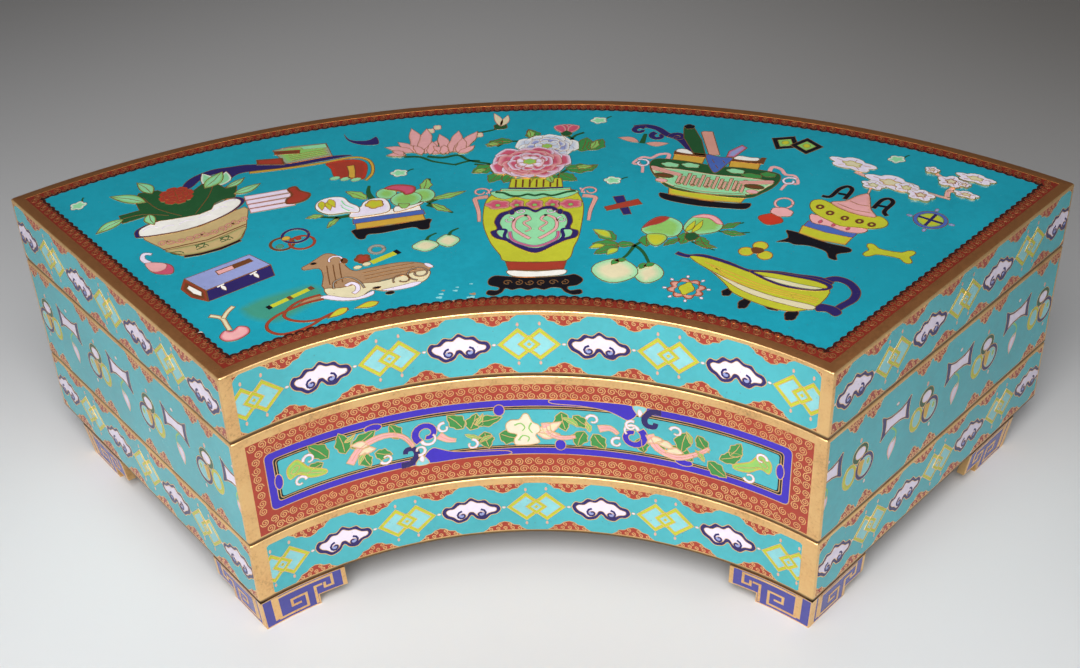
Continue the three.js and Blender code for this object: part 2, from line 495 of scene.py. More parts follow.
class Inlay:
    """Enamel cells and wires on a flat pattern in millimetres: u across, v up, w out."""

    def __init__(self):
        self.bm = bmesh.new()
        self.paints = self.bm.loops.layers.float_color.new("enamel")
        self.spot = Matrix.Identity(4)
        self.wire = mm("wire")
        self.base = 0

    @contextmanager
    def at(self, u, v, turn=0.0, scale=1.0, mirror=False, raised=0):
        """Draws round another point, turned anticlockwise by degrees, scaled, mirrored or raised."""
        before, self.base = self.spot, self.base + raised
        across = -scale if mirror else scale
        turned = Matrix.Rotation(math.radians(turn), 4, "Z") @ Matrix.Diagonal((across, scale, 1, 1))
        self.spot = before @ Matrix.Translation((u, v, 0)) @ turned
        yield self
        self.spot, self.base = before, self.base - raised

    def draw_in(self, top, distance):
        """Insets a cell's top and holds back corners that would cross; gives the faces round it."""
        outer = [vert.co.copy() for vert in top.verts]
        made = bmesh.ops.inset_region(
            self.bm, faces=[top], thickness=distance, depth=0.0, use_even_offset=True, use_boundary=True)
        rim = made["faces"]
        inner = list(top.verts)
        shift = [vert.co - spot for vert, spot in zip(inner, outer)]
        share = [1.0] * len(outer)
        for _ in range(16):
            crossed = False
            for i in range(len(outer)):
                edge = outer[i] - outer[i - 1]
                moved = edge + shift[i] * share[i] - shift[i - 1] * share[i - 1]
                if edge.dot(moved) < 0.12 * edge.length_squared:
                    share[i] *= 0.7
                    share[i - 1] *= 0.7
                    crossed = True
            if not crossed:
                break
        for _ in range(8):
            for vert, spot, move, part in zip(inner, outer, shift, share):
                vert.co = spot + move * part
            if not crosses_itself([vert.co for vert in inner]):
                break
            share = [0.6 * part for part in share]
        return rim

    def cell(self, name, outline, level=1, wire=None, fade=None, root=ROOT):
        """One closed cell of enamel. `fade` is a second colour and how far in from the wire it starts."""
        bm = self.bm
        points = [self.spot @ Vector((x, y, 0)) for x, y in outline]
        area = sum(a.x * b.y - b.x * a.y for a, b in zip(points, points[1:] + points[:1]))
        if area < 0:
            points.reverse()
        floor = bm.faces.new([bm.verts.new(p - Vector((0, 0, root))) for p in points])
        made = bmesh.ops.extrude_face_region(bm, geom=[floor], use_keep_orig=True)["geom"]
        floor.normal_flip()
        top = next(g for g in made if isinstance(g, bmesh.types.BMFace))
        for vert in top.verts:
            vert.co.z = (self.base + level) * LAYER
        sides = [f for e in top.edges for f in e.link_faces if f is not top]
        top.normal_update()
        wire = self.wire if wire is None else wire
        tint = paint(name)
        rim = []
        if wire:
            rim = self.draw_in(top, wire)
            for vert in top.verts:
                vert.co.z -= SINK
        for face in rim + sides + [floor]:
            face.material_index = GILT if wire else ENAMEL
            for loop in face.loops:
                loop[self.paints] = tint
        if fade:
            second, reach = fade
            heart = paint(second)
            blend = self.draw_in(top, reach)
            core = set(top.verts)
            for face in blend:
                face.material_index = ENAMEL
                for loop in face.loops:
                    loop[self.paints] = heart if loop.vert in core else tint
            tint = heart
        top.material_index = ENAMEL
        for loop in top.loops:
            loop[self.paints] = tint
        return top

    def line(self, path, width=None, level=1, name="gilt", end_width=None):
        """A bare wire, or a stroke of one colour when a name is given."""
        outline = band(path, width or self.wire, end_width)
        top = self.cell(name, outline, level, wire=0)
        if name == "gilt":
            top.material_index = GILT
            for edge in top.edges:
                for face in edge.link_faces:
                    face.material_index = GILT
        return top

    def blob(self, name, points, level=1, steps=3, **options):
        """A cell whose outline runs smoothly through the points."""
        return self.cell(name, smooth(points, steps), level, **options)

    def strip(self, name, points, width, level=1, steps=5, **options):
        """A cell along a smooth path, of one width or from a first width to a last one."""
        widths = width if isinstance(width, tuple) else (width,)
        return self.cell(name, band(smooth(points, steps, False), *widths), level, **options)

    def stroke(self, points, *options, steps=4):
        """A wire or a stroke along a smooth path."""
        return self.line(smooth(points, steps, False), *options)

    def stamp(self, mesh, u, v=0.0, turn=0.0, mirror=False):
        """Adds a copy of a finished pattern."""
        before = len(self.bm.verts), len(self.bm.faces)
        self.bm.from_mesh(mesh)
        self.bm.verts.ensure_lookup_table()
        self.bm.faces.ensure_lookup_table()
        with self.at(u, v, turn, mirror=mirror):
            bmesh.ops.transform(self.bm, matrix=self.spot, verts=self.bm.verts[before[0]:])
        if mirror:
            bmesh.ops.reverse_faces(self.bm, faces=self.bm.faces[before[1]:])

    def slice_every(self, pitch, reach):
        """Cuts the pattern into narrow upright strips, so that it can follow a curved wall."""
        count = int(reach / pitch)
        for k in range(-count, count + 1):
            parts = [*self.bm.verts, *self.bm.edges, *self.bm.faces]
            bmesh.ops.bisect_plane(
                self.bm, geom=parts, dist=1e-4, plane_co=(k * pitch, 0, 0), plane_no=(1, 0, 0))

    def trim(self, low, high):
        """Cuts off what runs under the posts and closes the cut."""
        for edge_u, sign in ((low, -1), (high, 1)):
            parts = [*self.bm.verts, *self.bm.edges, *self.bm.faces]
            bmesh.ops.bisect_plane(
                self.bm, geom=parts, dist=1e-4, plane_co=(edge_u, 0, 0), plane_no=(sign, 0, 0),
                clear_outer=True)
        open_edges = [e for e in self.bm.edges if e.is_boundary]
        if open_edges:
            bmesh.ops.holes_fill(self.bm, edges=open_edges, sides=0)

    def pattern(self, name, pitch=None, reach=0.0):
        """The finished pattern as a mesh in millimetres, ready for stamping."""
        if pitch:
            self.slice_every(pitch, reach)
        mesh = bpy.data.meshes.new(name)
        self.bm.to_mesh(mesh)
        self.bm.free()
        return mesh

    def piece(self, name, surface, slot, mirrored_surface=False):
        """The finished pattern as a piece of the box, laid on a surface."""
        mesh = mesh_from(self.bm, name, surface, mirrored_surface)
        return link_piece(name, mesh, [fired_enamel(), gilding()], slot)


# ---- surfaces that patterns are laid on ----

def lid_surface(plan):
    return lambda u, v, w: np.stack([u, v + plan.centre_y, plan.top + w], 1)


def front_surface(plan, z):
    def lay(u, v, w):
        a, r = u / plan.inner, plan.inner - w
        return np.stack([r * np.sin(a), r * np.cos(a) + plan.centre_y, z + v], 1)
    return lay


def back_surface(plan, z):
    def lay(u, v, w):
        a, r = -u / plan.outer, plan.outer + w
        return np.stack([r * np.sin(a), r * np.cos(a) + plan.centre_y, z + v], 1)
    return lay


def side_surface(plan, z, side=1):
    """The right (1) or left (-1) side, with u counted from the front corner."""
    sin, cos = math.sin(plan.angle), math.cos(plan.angle)

    def lay(u, v, w):
        r = plan.inner + u
        return np.stack([side * (r * sin + w * cos), r * cos - w * sin + plan.centre_y, z + v], 1)
    return lay


# ---- materials ----

def group_sockets(group, ins, outs):
    for name, kind, value in ins:
        socket = group.interface.new_socket(name, in_out="INPUT", socket_type=kind)
        socket.default_value = value
    for name, kind in outs:
        group.interface.new_socket(name, in_out="OUTPUT", socket_type=kind)


class NodeBench:
    """Adds and joins nodes in one tree."""

    def __init__(self, tree):
        self.tree = tree

    def add(self, kind, **values):
        node = self.tree.nodes.new(kind)
        for key, value in values.items():
            setattr(node, key, value)
        return node

    def join(self, source, target):
        self.tree.links.new(source, target)

    def noise(self, vector, scale, detail=4.0, roughness=0.55):
        node = self.add("ShaderNodeTexNoise")
        node.inputs["Scale"].default_value = scale
        node.inputs["Detail"].default_value = detail
        node.inputs["Roughness"].default_value = roughness
        self.join(vector, node.inputs["Vector"])
        return node.outputs["Fac"]

    def ramp(self, source, low, high, to_low=0.0, to_high=1.0):
        node = self.add("ShaderNodeMapRange", clamp=True, interpolation_type="SMOOTHSTEP")
        for name, value in (("From Min", low), ("From Max", high), ("To Min", to_low), ("To Max", to_high)):
            node.inputs[name].default_value = value
        self.join(source, node.inputs["Value"])
        return node.outputs["Result"]

    def math(self, operation, first, second):
        node = self.add("ShaderNodeMath", operation=operation)
        for socket, value in zip(node.inputs, (first, second)):
            if isinstance(value, (int, float)):
                socket.default_value = value
            else:
                self.join(value, socket)
        return node.outputs[0]

    def mix(self, factor, first, second, blend="MIX"):
        node = self.add("ShaderNodeMix", data_type="RGBA", blend_type=blend)
        for socket, value in ((node.inputs[0], factor), (node.inputs[6], first), (node.inputs[7], second)):
            if isinstance(value, (int, float, tuple)):
                socket.default_value = value
            else:
                self.join(value, socket)
        return node.outputs[2]


def fired_surface_group():
    """Clouding, pits and polish of fired enamel, over a colour that is put in."""
    name = "Fired Surface"
    if name in bpy.data.node_groups:
        return bpy.data.node_groups[name]
    group = bpy.data.node_groups.new(name, "ShaderNodeTree")
    group_sockets(group, [
        ("Colour", "NodeSocketColor", (0.5, 0.5, 0.5, 1)), ("Clouding", "NodeSocketFloat", 0.3),
        ("Pitting", "NodeSocketFloat", 0.5)],
        [("Colour", "NodeSocketColor"), ("Roughness", "NodeSocketFloat"), ("Height", "NodeSocketFloat")])
    bench = NodeBench(group)
    given = bench.add("NodeGroupInput").outputs
    made = bench.add("NodeGroupOutput").inputs
    place = bench.add("ShaderNodeTexCoord").outputs["Object"]
    broad = bench.noise(place, 22.0, 3.0)
    fine = bench.noise(place, 420.0, 3.0)
    cloud = bench.math("ADD", bench.math("MULTIPLY", broad, 0.65), bench.math("MULTIPLY", fine, 0.35))
    shade = bench.ramp(cloud, 0.35, 0.65, -0.5, 0.5)
    shade = bench.math("MULTIPLY", shade, given["Clouding"])
    scaled = bench.math("ADD", shade, 1.0)
    value = bench.add("ShaderNodeHueSaturation")
    bench.join(scaled, value.inputs["Value"])
    bench.join(given["Colour"], value.inputs["Color"])
    dots = bench.add("ShaderNodeTexVoronoi", feature="F1")
    dots.inputs["Scale"].default_value = 620.0
    bench.join(place, dots.inputs["Vector"])
    pit = bench.ramp(dots.outputs["Distance"], 0.10, 0.2, 1.0, 0.0)
    sparse = bench.ramp(bench.noise(place, 160.0, 2.0), 0.52, 0.66)
    pit = bench.math("MULTIPLY", bench.math("MULTIPLY", pit, sparse), given["Pitting"])
    darkening = bench.mix(bench.math("MULTIPLY", pit, 0.75), value.outputs["Color"], (0.05, 0.04, 0.03, 1))
    bench.join(darkening, made["Colour"])
    bench.join(
        bench.math("ADD", bench.ramp(fine, 0.3, 0.7, 0.14, 0.26), bench.math("MULTIPLY", pit, 0.4)),
        made["Roughness"])
    swell = bench.math("MULTIPLY", bench.noise(place, 130.0, 2.0), 0.5)
    bench.join(bench.math("SUBTRACT", swell, pit), made["Height"])
    return group


def gilding_wear_and_shade_group():
    """Fire gilding rubbed down to the copper in patches, with grime in the scratches, painted shadow along
    the joints between the tiers and painted shade that turns upward-facing flats copper-brown.
    """
    name = "Worn Gilding"
    if name in bpy.data.node_groups:
        return bpy.data.node_groups[name]
    group = bpy.data.node_groups.new(name, "ShaderNodeTree")
    group_sockets(group, [
        ("Gilt", "NodeSocketColor", (0.8, 0.6, 0.3, 1)),
        ("Copper", "NodeSocketColor", (0.3, 0.15, 0.08, 1)), ("Wear", "NodeSocketFloat", 0.5),
        ("Foot Seam", "NodeSocketFloat", 0.015), ("Low Seam", "NodeSocketFloat", 0.045),
        ("High Seam", "NodeSocketFloat", 0.08)],
        [("Colour", "NodeSocketColor"), ("Roughness", "NodeSocketFloat"), ("Height", "NodeSocketFloat")])
    bench = NodeBench(group)
    given = bench.add("NodeGroupInput").outputs
    made = bench.add("NodeGroupOutput").inputs
    place = bench.add("ShaderNodeTexCoord").outputs["Object"]
    patches = bench.noise(place, 60.0, 6.0, 0.65)
    grime = bench.noise(place, 900.0, 4.0, 0.7)
    height = bench.add("ShaderNodeSeparateXYZ")
    bench.join(place, height.inputs[0])
    wear_and_top_shade = bench.ramp(bench.math("ADD", patches, bench.math("MULTIPLY", grime, 0.35)), 0.55, 0.85)
    wear_and_top_shade = bench.math("MULTIPLY", wear_and_top_shade, given["Wear"])
    facing = bench.add("ShaderNodeSeparateXYZ")
    bench.join(bench.add("ShaderNodeNewGeometry").outputs["Normal"], facing.inputs[0])
    # Upward-facing flats are turned copper-brown: painted shade on the tops, joined with the real rubbed
    # patches
    wear_and_top_shade = bench.math("MAXIMUM", wear_and_top_shade, bench.ramp(facing.outputs["Z"], 0.9, 1.0, 0.0, 0.9))
    bright = bench.mix(wear_and_top_shade, given["Gilt"], given["Copper"])
    darkening = bench.ramp(bench.math("ADD", patches, grime), 1.05, 1.4, 0.0, 0.4)
    upright = bench.ramp(facing.outputs["Z"], 0.3, 0.6, 0.85, 0.0)
    # Bands round the joints between the tiers, on upright faces: painted shadow in the gaps, added to the
    # real grime
    for joint_shadow in ("Foot Seam", "Low Seam", "High Seam"):
        away = bench.math("ABSOLUTE", bench.math("SUBTRACT", height.outputs["Z"], given[joint_shadow]), 0.0)
        darkening = bench.math(
            "MAXIMUM", darkening, bench.math("MULTIPLY", bench.ramp(away, 0.0004, 0.0012, 1.0, 0.0), upright))
    # This dark brown is both the grime's colour and the painted shadow along the joints
    bench.join(bench.mix(darkening, bright, (0.07, 0.035, 0.014, 1)), made["Colour"])
    bench.join(bench.ramp(grime, 0.3, 0.7, 0.3, 0.5), made["Roughness"])
    bench.join(grime, made["Height"])
    return group


def dressed_material(name, group, values, bump_distance, metallic=0.0, specular=0.5, coat=0.0):
    """A material whose colour, roughness and relief come from a shared group."""
    if name in bpy.data.materials:
        return bpy.data.materials[name], None, None
    material = bpy.data.materials.new(name)
    material.use_nodes = True
    bench = NodeBench(material.node_tree)
    shader = material.node_tree.nodes["Principled BSDF"]
    shader.inputs["Metallic"].default_value = metallic
    shader.inputs["Specular IOR Level"].default_value = specular
    shader.inputs["Coat Weight"].default_value = coat
    shader.inputs["Coat Roughness"].default_value = 0.08
    surface = bench.add("ShaderNodeGroup", node_tree=group)
    for key, value in values.items():
        surface.inputs[key].default_value = value
    bump = bench.add("ShaderNodeBump")
    bump.inputs["Strength"].default_value = 0.5
    bump.inputs["Distance"].default_value = bump_distance
    bench.join(surface.outputs["Height"], bump.inputs["Height"])
    bench.join(bump.outputs["Normal"], shader.inputs["Normal"])
    bench.join(surface.outputs["Colour"], shader.inputs["Base Color"])
    bench.join(surface.outputs["Roughness"], shader.inputs["Roughness"])
    return material, bench, surface


def fired_enamel():
    """Glossy enamel whose colour is painted cell by cell."""
    material, bench, surface = dressed_material(
        "fired enamel", fired_surface_group(), {"Clouding": 0.16, "Pitting": 0.6}, 0.00006,
        specular=0.3, coat=0.08)
    if bench:
        cells = bench.add("ShaderNodeAttribute", attribute_type="GEOMETRY", attribute_name="enamel")
        bench.join(cells.outputs["Color"], surface.inputs["Colour"])
    return material


def counter_enamel():
    """The plain turquoise inside and underneath."""
    return dressed_material(
        "counter enamel", fired_surface_group(),
        {"Colour": paint("turquoise"), "Clouding": 0.25, "Pitting": 0.9}, 0.0001)[0]


def gilding():
    """Worn gilding with painted shadow along the joints between the tiers and painted shade on its
    upward-facing flats.
    """
    # Heights of the joints, where the painted joint shadow is centred
    joint_heights = [FanPlan().tiers[tier][0] / MM for tier in ("base_tray", "middle_tray", "lid")]
    values = {"Gilt": paint("gilt"), "Copper": paint("copper"), "Wear": 0.3}
    values |= {name: height + 0.0004 for name, height in zip(("Foot Seam", "Low Seam", "High Seam"), joint_heights)}
    return dressed_material("gilding with wear and painted shade", gilding_wear_and_shade_group(), values, 0.00005, metallic=0.85)[0]


# ---- the three tiers ----

def outer_profile(low, high, front_rim):
    """Outer wall from its lower edge up, with the beds between its rims."""
    rim = mm("thin_rim")
    wall = [(0, low + rim, GILT, ()), (0, high - front_rim, GILT, ALL_WALLS)]
    if front_rim > rim:
        wall.append((0, high - rim, GILT, ALL_WALLS[1:]))
    return rounded_edge(low, False) + wall + rounded_edge(high, True)


def lid_profile(plan):
    low, high = plan.tiers["lid"]
    wall, rim = mm("wall"), mm("top_rim")
    inside = [(wall, high - wall, ENAMEL, ()), (wall, low + 0.4, ENAMEL, ()), (wall, low, GILT, ())]
    top = [(rim, high, GILT, ()), (rim, high - mm("bed"), GILT, ())]
    return inside + outer_profile(low, high, mm("thin_rim")) + top


def tray_profile(plan, tier, floor_rise):
    low, high = plan.tiers[tier]
    wall, gap, lip = mm("wall"), mm("fit_gap"), mm("lip")
    under = [(wall, low + floor_rise, ENAMEL, ()), (wall, low, GILT, ())] if floor_rise else []
    lip_top, lip_foot = high + gap + mm("lip_rise"), high - LIP_ROOT
    inside = [
        (wall + gap, high, GILT, ()), (wall + gap, lip_top, GILT, ()),
        (wall + gap + lip, lip_top, GILT, ()), (wall + gap + lip, lip_foot, GILT, ()),
        (wall, lip_foot, GILT, ()), (wall, low + floor_rise + wall, ENAMEL, ())]
    return under + outer_profile(low, high, mm("mouth_rim")) + inside


class FANBOX_OT_tiers(bpy.types.Operator):
    """Build the gilt copper bodies of the lid and the two trays"""
    bl_idname = "fanbox.tiers"
    bl_label = "Gilt tiers"

    def execute(self, context):
        plan = FanPlan()
        rise = mm("lip_rise") + 2 * mm("fit_gap")
        profiles = {
            "lid": lid_profile(plan), "middle_tray": tray_profile(plan, "middle_tray", rise),
            "base_tray": tray_profile(plan, "base_tray", 0.0)}
        for node, profile in profiles.items():
            mesh = mesh_from(fan_shell(plan, profile, front_post(node)), node + "_body")
            link_piece(mesh.name, mesh, [counter_enamel(), gilding()], "gilt_copper", node)
        return {"FINISHED"}


# ---- the lid's ground and border ----

def fan_outline(plan, inset, steps=64):
    """The fan moved in by `inset`, as a flat outline round the arcs' centre."""
    near, far = plan.inner + inset, plan.outer - inset
    near_angle, far_angle = plan.corner_angle(near, inset), plan.corner_angle(far, inset)
    front = [(near * math.sin(a), near * math.cos(a)) for a in np.linspace(-near_angle, near_angle, steps)]
    back = [(far * math.sin(a), far * math.cos(a)) for a in np.linspace(far_angle, -far_angle, steps)]
    return front + back


def walk_round(plan, inset, pitch):
    """Evenly spaced places round the fan at an inset: u, v and the turn that makes v point inwards."""
    near, far = plan.inner + inset, plan.outer - inset
    near_angle, far_angle = plan.corner_angle(near, inset), plan.corner_angle(far, inset)
    places = []
    for radius, angle, over in ((near, near_angle, 0), (far, far_angle, 180)):
        count = round(2 * radius * angle / pitch)
        for k in range(count):
            a = angle * (2 * (k + 0.5) / count - 1)
            places.append((radius * math.sin(a), radius * math.cos(a), over - math.degrees(a)))
    lean = 90 - math.degrees(plan.angle)
    for side, turn in ((1, lean), (-1, -lean)):
        low = Vector((side * near * math.sin(near_angle), near * math.cos(near_angle)))
        high = Vector((side * far * math.sin(far_angle), far * math.cos(far_angle)))
        count = round((high - low).length / pitch)
        for k in range(count):
            spot = low.lerp(high, (k + 0.5) / count)
            places.append((spot.x, spot.y, turn))
    return places


def curl_pattern(radius, turns=1.6, points=15):
    """A small spiral of wire, as cloisonne grounds are filled with."""
    pen = Inlay()
    pen.line(spiral(radius, turns, 90, n=points), 0.34)
    return pen.pattern("curl")


def scallop_pattern(pitch):
    """One lobe of the dark edge that runs along the inside of the lid's border."""
    pen = Inlay()
    pen.cell("soot", ellipse(pitch * 0.86, 2.3, y=0.1, n=12), 3, wire=0)
    pen.cell("maroon", ellipse(pitch * 0.5, 1.3, y=-0.5, n=10), 4, wire=FINE)
    return pen.pattern("scallop")


class FANBOX_OT_lid_ground(bpy.types.Operator):
    """Lay the turquoise ground of the lid's picture and its red border of wire curls"""
    bl_idname = "fanbox.lid_ground"
    bl_label = "Lid ground and border"

    def execute(self, context):
        plan = FanPlan()
        rim, pitch = mm("top_rim"), BORDER_PITCH
        pen = Inlay()
        bed = mm("bed") - ROOT
        pen.cell("maroon", fan_outline(plan, rim), -2, root=bed, wire=0.3)
        pen.cell("soot", fan_outline(plan, rim + BORDER_WIDTH), -1, wire=0)
        pen.cell("turquoise", fan_outline(plan, rim + BORDER_WIDTH + BORDER_EDGE), 0, wire=0.25)
        curl, scallop = curl_pattern(pitch * 0.42), scallop_pattern(pitch)
        for u, v, turn in walk_round(plan, rim + BORDER_WIDTH / 2, pitch):
            pen.stamp(curl, u, v, turn)
        for u, v, turn in walk_round(plan, rim + BORDER_WIDTH, pitch):
            pen.stamp(scallop, u, v, turn)
        for k in range(9):
            wide = 1.2 + 0.5 * (k % 4)
            x = SCUFFS[0] + 1.7 * k - 2.2 * (k % 3)
            y = SCUFFS[1] - 2.6 * (k % 4) + 0.5 * k
            pen.cell("sky" if k % 3 else "tan", lobed(wide, 0.6 * wide, 3, 0.3, x, y), 0.5, wire=0)
        pen.piece("lid_ground", lid_surface(plan), "turquoise_enamel")
        return {"FINISHED"}


# ---- the lid's picture: vessels, books, flowers and fruit ----

def place_motif(name, x, y, draw):
    """Draws one motif round a point counted from the arcs' centre, its top towards the outer edge."""
    pen = Inlay()
    with pen.at(x, y, -math.degrees(math.atan2(x, y))):
        draw(pen)
    return pen.piece(name, lid_surface(FanPlan()), "picture_enamels")


def shrunk(outline, share):
    """An outline drawn in towards its middle."""
    p = np.array(outline)
    middle = (p.min(0) + p.max(0)) / 2
    return [tuple(q) for q in middle + (p - middle) * share]


def draw_leaf_spray(pen, places, name="green", level=5):
    """Lobed leaves at (u, v, turn, length, width), each with a yellow vein."""
    for k, (u, v, turn, long, wide) in enumerate(places):
        with pen.at(u, v, turn, raised=0.18 * (k % 5)):
            pen.cell(name, leaf(long, wide, 0.4, 3), level)
            pen.line([(0, 0.12 * long), (0.3, 0.5 * long), (0, 0.86 * long)], 0.3, level + 1)


def draw_vase(pen):
    """A yellow vase with a lobed medallion, dragon handles and a black stand."""
    pen.blob("black", [
        (-14.2, -25.5), (-12, -23), (-7, -23.6), (2, -24.4), (12, -23.4), (15.5, -22.6), (18.4, -26),
        (16.4, -29.6), (13.2, -30.6), (14, -32.6), (17.4, -32), (18, -34.6), (15, -35.6), (12, -33.6),
        (10.6, -31.4), (7.5, -31), (5, -32.3), (2.2, -31.2), (-0.4, -32.4), (-3, -31.2), (-5.6, -32.2),
        (-8, -31.2), (-9, -33.6), (-11.6, -35.6), (-14.4, -34.6), (-13.8, -32), (-11, -32.2),
        (-10.4, -30.6), (-13.8, -29)])
    for k in range(6):
        pen.line(spiral(1.7, 1.3, 90 * k, (-1) ** k, x=-7.6 + 3.9 * k, y=-27.6, n=12), 0.35, 4)
    for x, mirror in ((-0.8, True), (1.2, False)):
        with pen.at(x, 0, mirror=mirror):
            pen.strip(
                "pink", [(16.4, 31), (18.6, 30.6), (21.2, 29.4), (20.8, 26.4), (19.4, 20), (18.8, 13)],
                (2.6, 1.4), 1, steps=4, wire=FINE, fade=("salmon", 0.5))
            pen.cell(
                "pink", band(spiral(3.2, 1.1, 200, -1, 0.35, 16, 19.4, 34.4), 1.2, 0.9), 2.5, wire=FINE)
            pen.line([(17.2, 33), (15.6, 36.6)], 0.8, 2.2, "pink")
    pen.blob("lemon", [
        (12.6, -14), (15, -5), (16.6, 1), (17.6, 10), (18.3, 20), (18, 26), (16.4, 32), (14, 35.6),
        (0, 35.2), (-14, 35.4), (-16.4, 32), (-18.4, 26), (-18.3, 12), (-15.4, 0), (-13.4, -5), (-11, -10),
        (-9, -14), (2, -14.8)], 2)
    pen.cell("red", [(-9, -14), (2, -14.9), (12.6, -14), (11.6, -19.6), (2, -20.4), (-7.6, -19.8)], 3)
    pen.blob("white", [
        (-7.7, -19.8), (2, -20.6), (11.8, -19.6), (12.2, -22.4), (8, -23.8), (-2, -24.4), (-7, -23)], 3)
    for x, wide in ((-13.4, 9.4), (13.4, 8.8), (0.2, 6.6), (-6.4, 5.6), (6.8, 5.6)):
        pen.cell("salmon", lobed(wide, 7, 5, x=x, y=25), 3, wire=0.22, fade=("rose", 1.2))
        pen.cell("lime", ellipse(2.2, 2.2, x, 24.4, 8), 4, wire=FINE)
    pen.blob("mint", [
        (-15.6, 34.8), (-15.4, 31), (-11, 28.6), (-7, 30.2), (-3, 28.4), (1, 28.4), (5, 30), (9, 28.6),
        (14, 31), (15.8, 34.8), (0, 35.6)], 5)
    pen.stroke([
        (-14.8, 34), (-11.6, 33.4), (-8.8, 31.2), (-5.4, 31), (-2.8, 32.2), (0, 31.2), (3, 32.2), (6, 31),
        (9, 32), (12, 33.6), (15.2, 34.2)], 1.3, 6, "pine")
    pen.cell("lemon", [(-10.2, 36), (10.6, 36), (9.8, 44.4), (-9.4, 44.4)], 3)
    for k in range(7):
        x = -7.4 + 2.6 * k
        pen.line([(x, 37.6), (x, 43.4)], 0.7, 4, "brown")
    pen.cell("mint", band([(-13, 35.8), (0, 35.2), (13.4, 36)], 1.5), 7)
    pen.line([(-10, 36.9), (0, 36.5), (10.4, 36.9)], 0.9, 7, "indigo")
    draw_medallion(pen)


def draw_medallion(pen):
    """A lobed mint medallion in a thick indigo line, with two scroll dragons."""
    rim = smooth([
        (0.6, 20.8), (-2.4, 23.2), (-6, 23.4), (-9, 20.8), (-12.6, 18.4), (-14.2, 12.6), (-13, 7.8),
        (-15.2, 5.6), (-13.4, 1.4), (-9, -1), (-5, -5.2), (1.6, -9), (8, -4), (12, -0.8), (15.8, 1.4),
        (16.4, 5.8), (13.6, 7.8), (14.4, 12.6), (13.2, 18.4), (9.6, 20.6), (6.8, 23.4), (3.4, 23.2)], 4)
    pen.cell("indigo", rim, 5)
    pen.cell("mint", shrunk(rim, 0.86), 6, wire=0.22)
    pen.stroke([
        (-12.4, 7.2), (-9.6, 6.6), (-9.8, 1.6), (-5.4, -3.4), (1.6, -6.4), (8, -2.6), (11, 1.6),
        (10.6, 6.6), (13, 7.2)], 1.3, 7, "indigo", steps=5)
    pen.strip("violet", [
        (-8.2, 5.6), (-7.2, 0.4), (-3.4, -3), (1.6, -4.6), (6.4, -2), (9, 1.4), (9.2, 5.6)], 1.6, 8,
        wire=FINE, fade=("rose", 0.4))
    for mirror in (False, True):
        with pen.at(0.8, 0, mirror=mirror):
            pen.strip("pink", [
                (1.6, 0.6), (4.6, 3.6), (7.6, 8), (7.2, 14), (3.8, 16.8), (2, 14), (4.2, 11.4), (1.6, 7.6),
                (3.4, 5.4)], (1.7, 0.9), 7, steps=4, wire=FINE)
            pen.cell("lilac", band(spiral(2.2, 0.9, 90, 1, 0.4, 9, 9.6, 13.6), 1.0, 0.7), 7, wire=FINE)
            pen.cell("lilac", band(spiral(1.8, 0.9, 0, -1, 0.4, 9, 5.4, 20), 1.0, 0.7), 7, wire=FINE)
            pen.cell("black", ellipse(1.4, 1.4, 3.6, 16.8, 8), 9, wire=0)
            pen.cell("indigo", ellipse(2.4, 4.2, 8.8, 19.2, 10), 7, wire=FINE)


def draw_peony(pen, wide, tall, rings, level, phase=0.0):
    """Rings of notched petals, each (count, reach, edge, deep), round a yellow-green heart."""
    for ring, (count, reach, edge, deep) in enumerate(rings):
        for k in range(count):
            turn = phase + 17 * ring + 360 * k / count
            a = math.radians(turn)
            size = math.hypot(wide / 2 * math.sin(a), tall / 2 * math.cos(a)) * reach * (1 - 0.1 * (k % 2))
            with pen.at(0, 0, turn):
                pen.cell(
                    edge, petal(size, 4.4 * wide * reach / count, 0.1), level + 2 * ring + 0.8 * k / count,
                    wire=0.16, fade=(deep, 0.16 * size))
    pen.cell(
        "lemon", lobed(0.15 * wide, 0.17 * tall, 6), level + 2 * len(rings), wire=FINE, fade=("lime", 0.6))


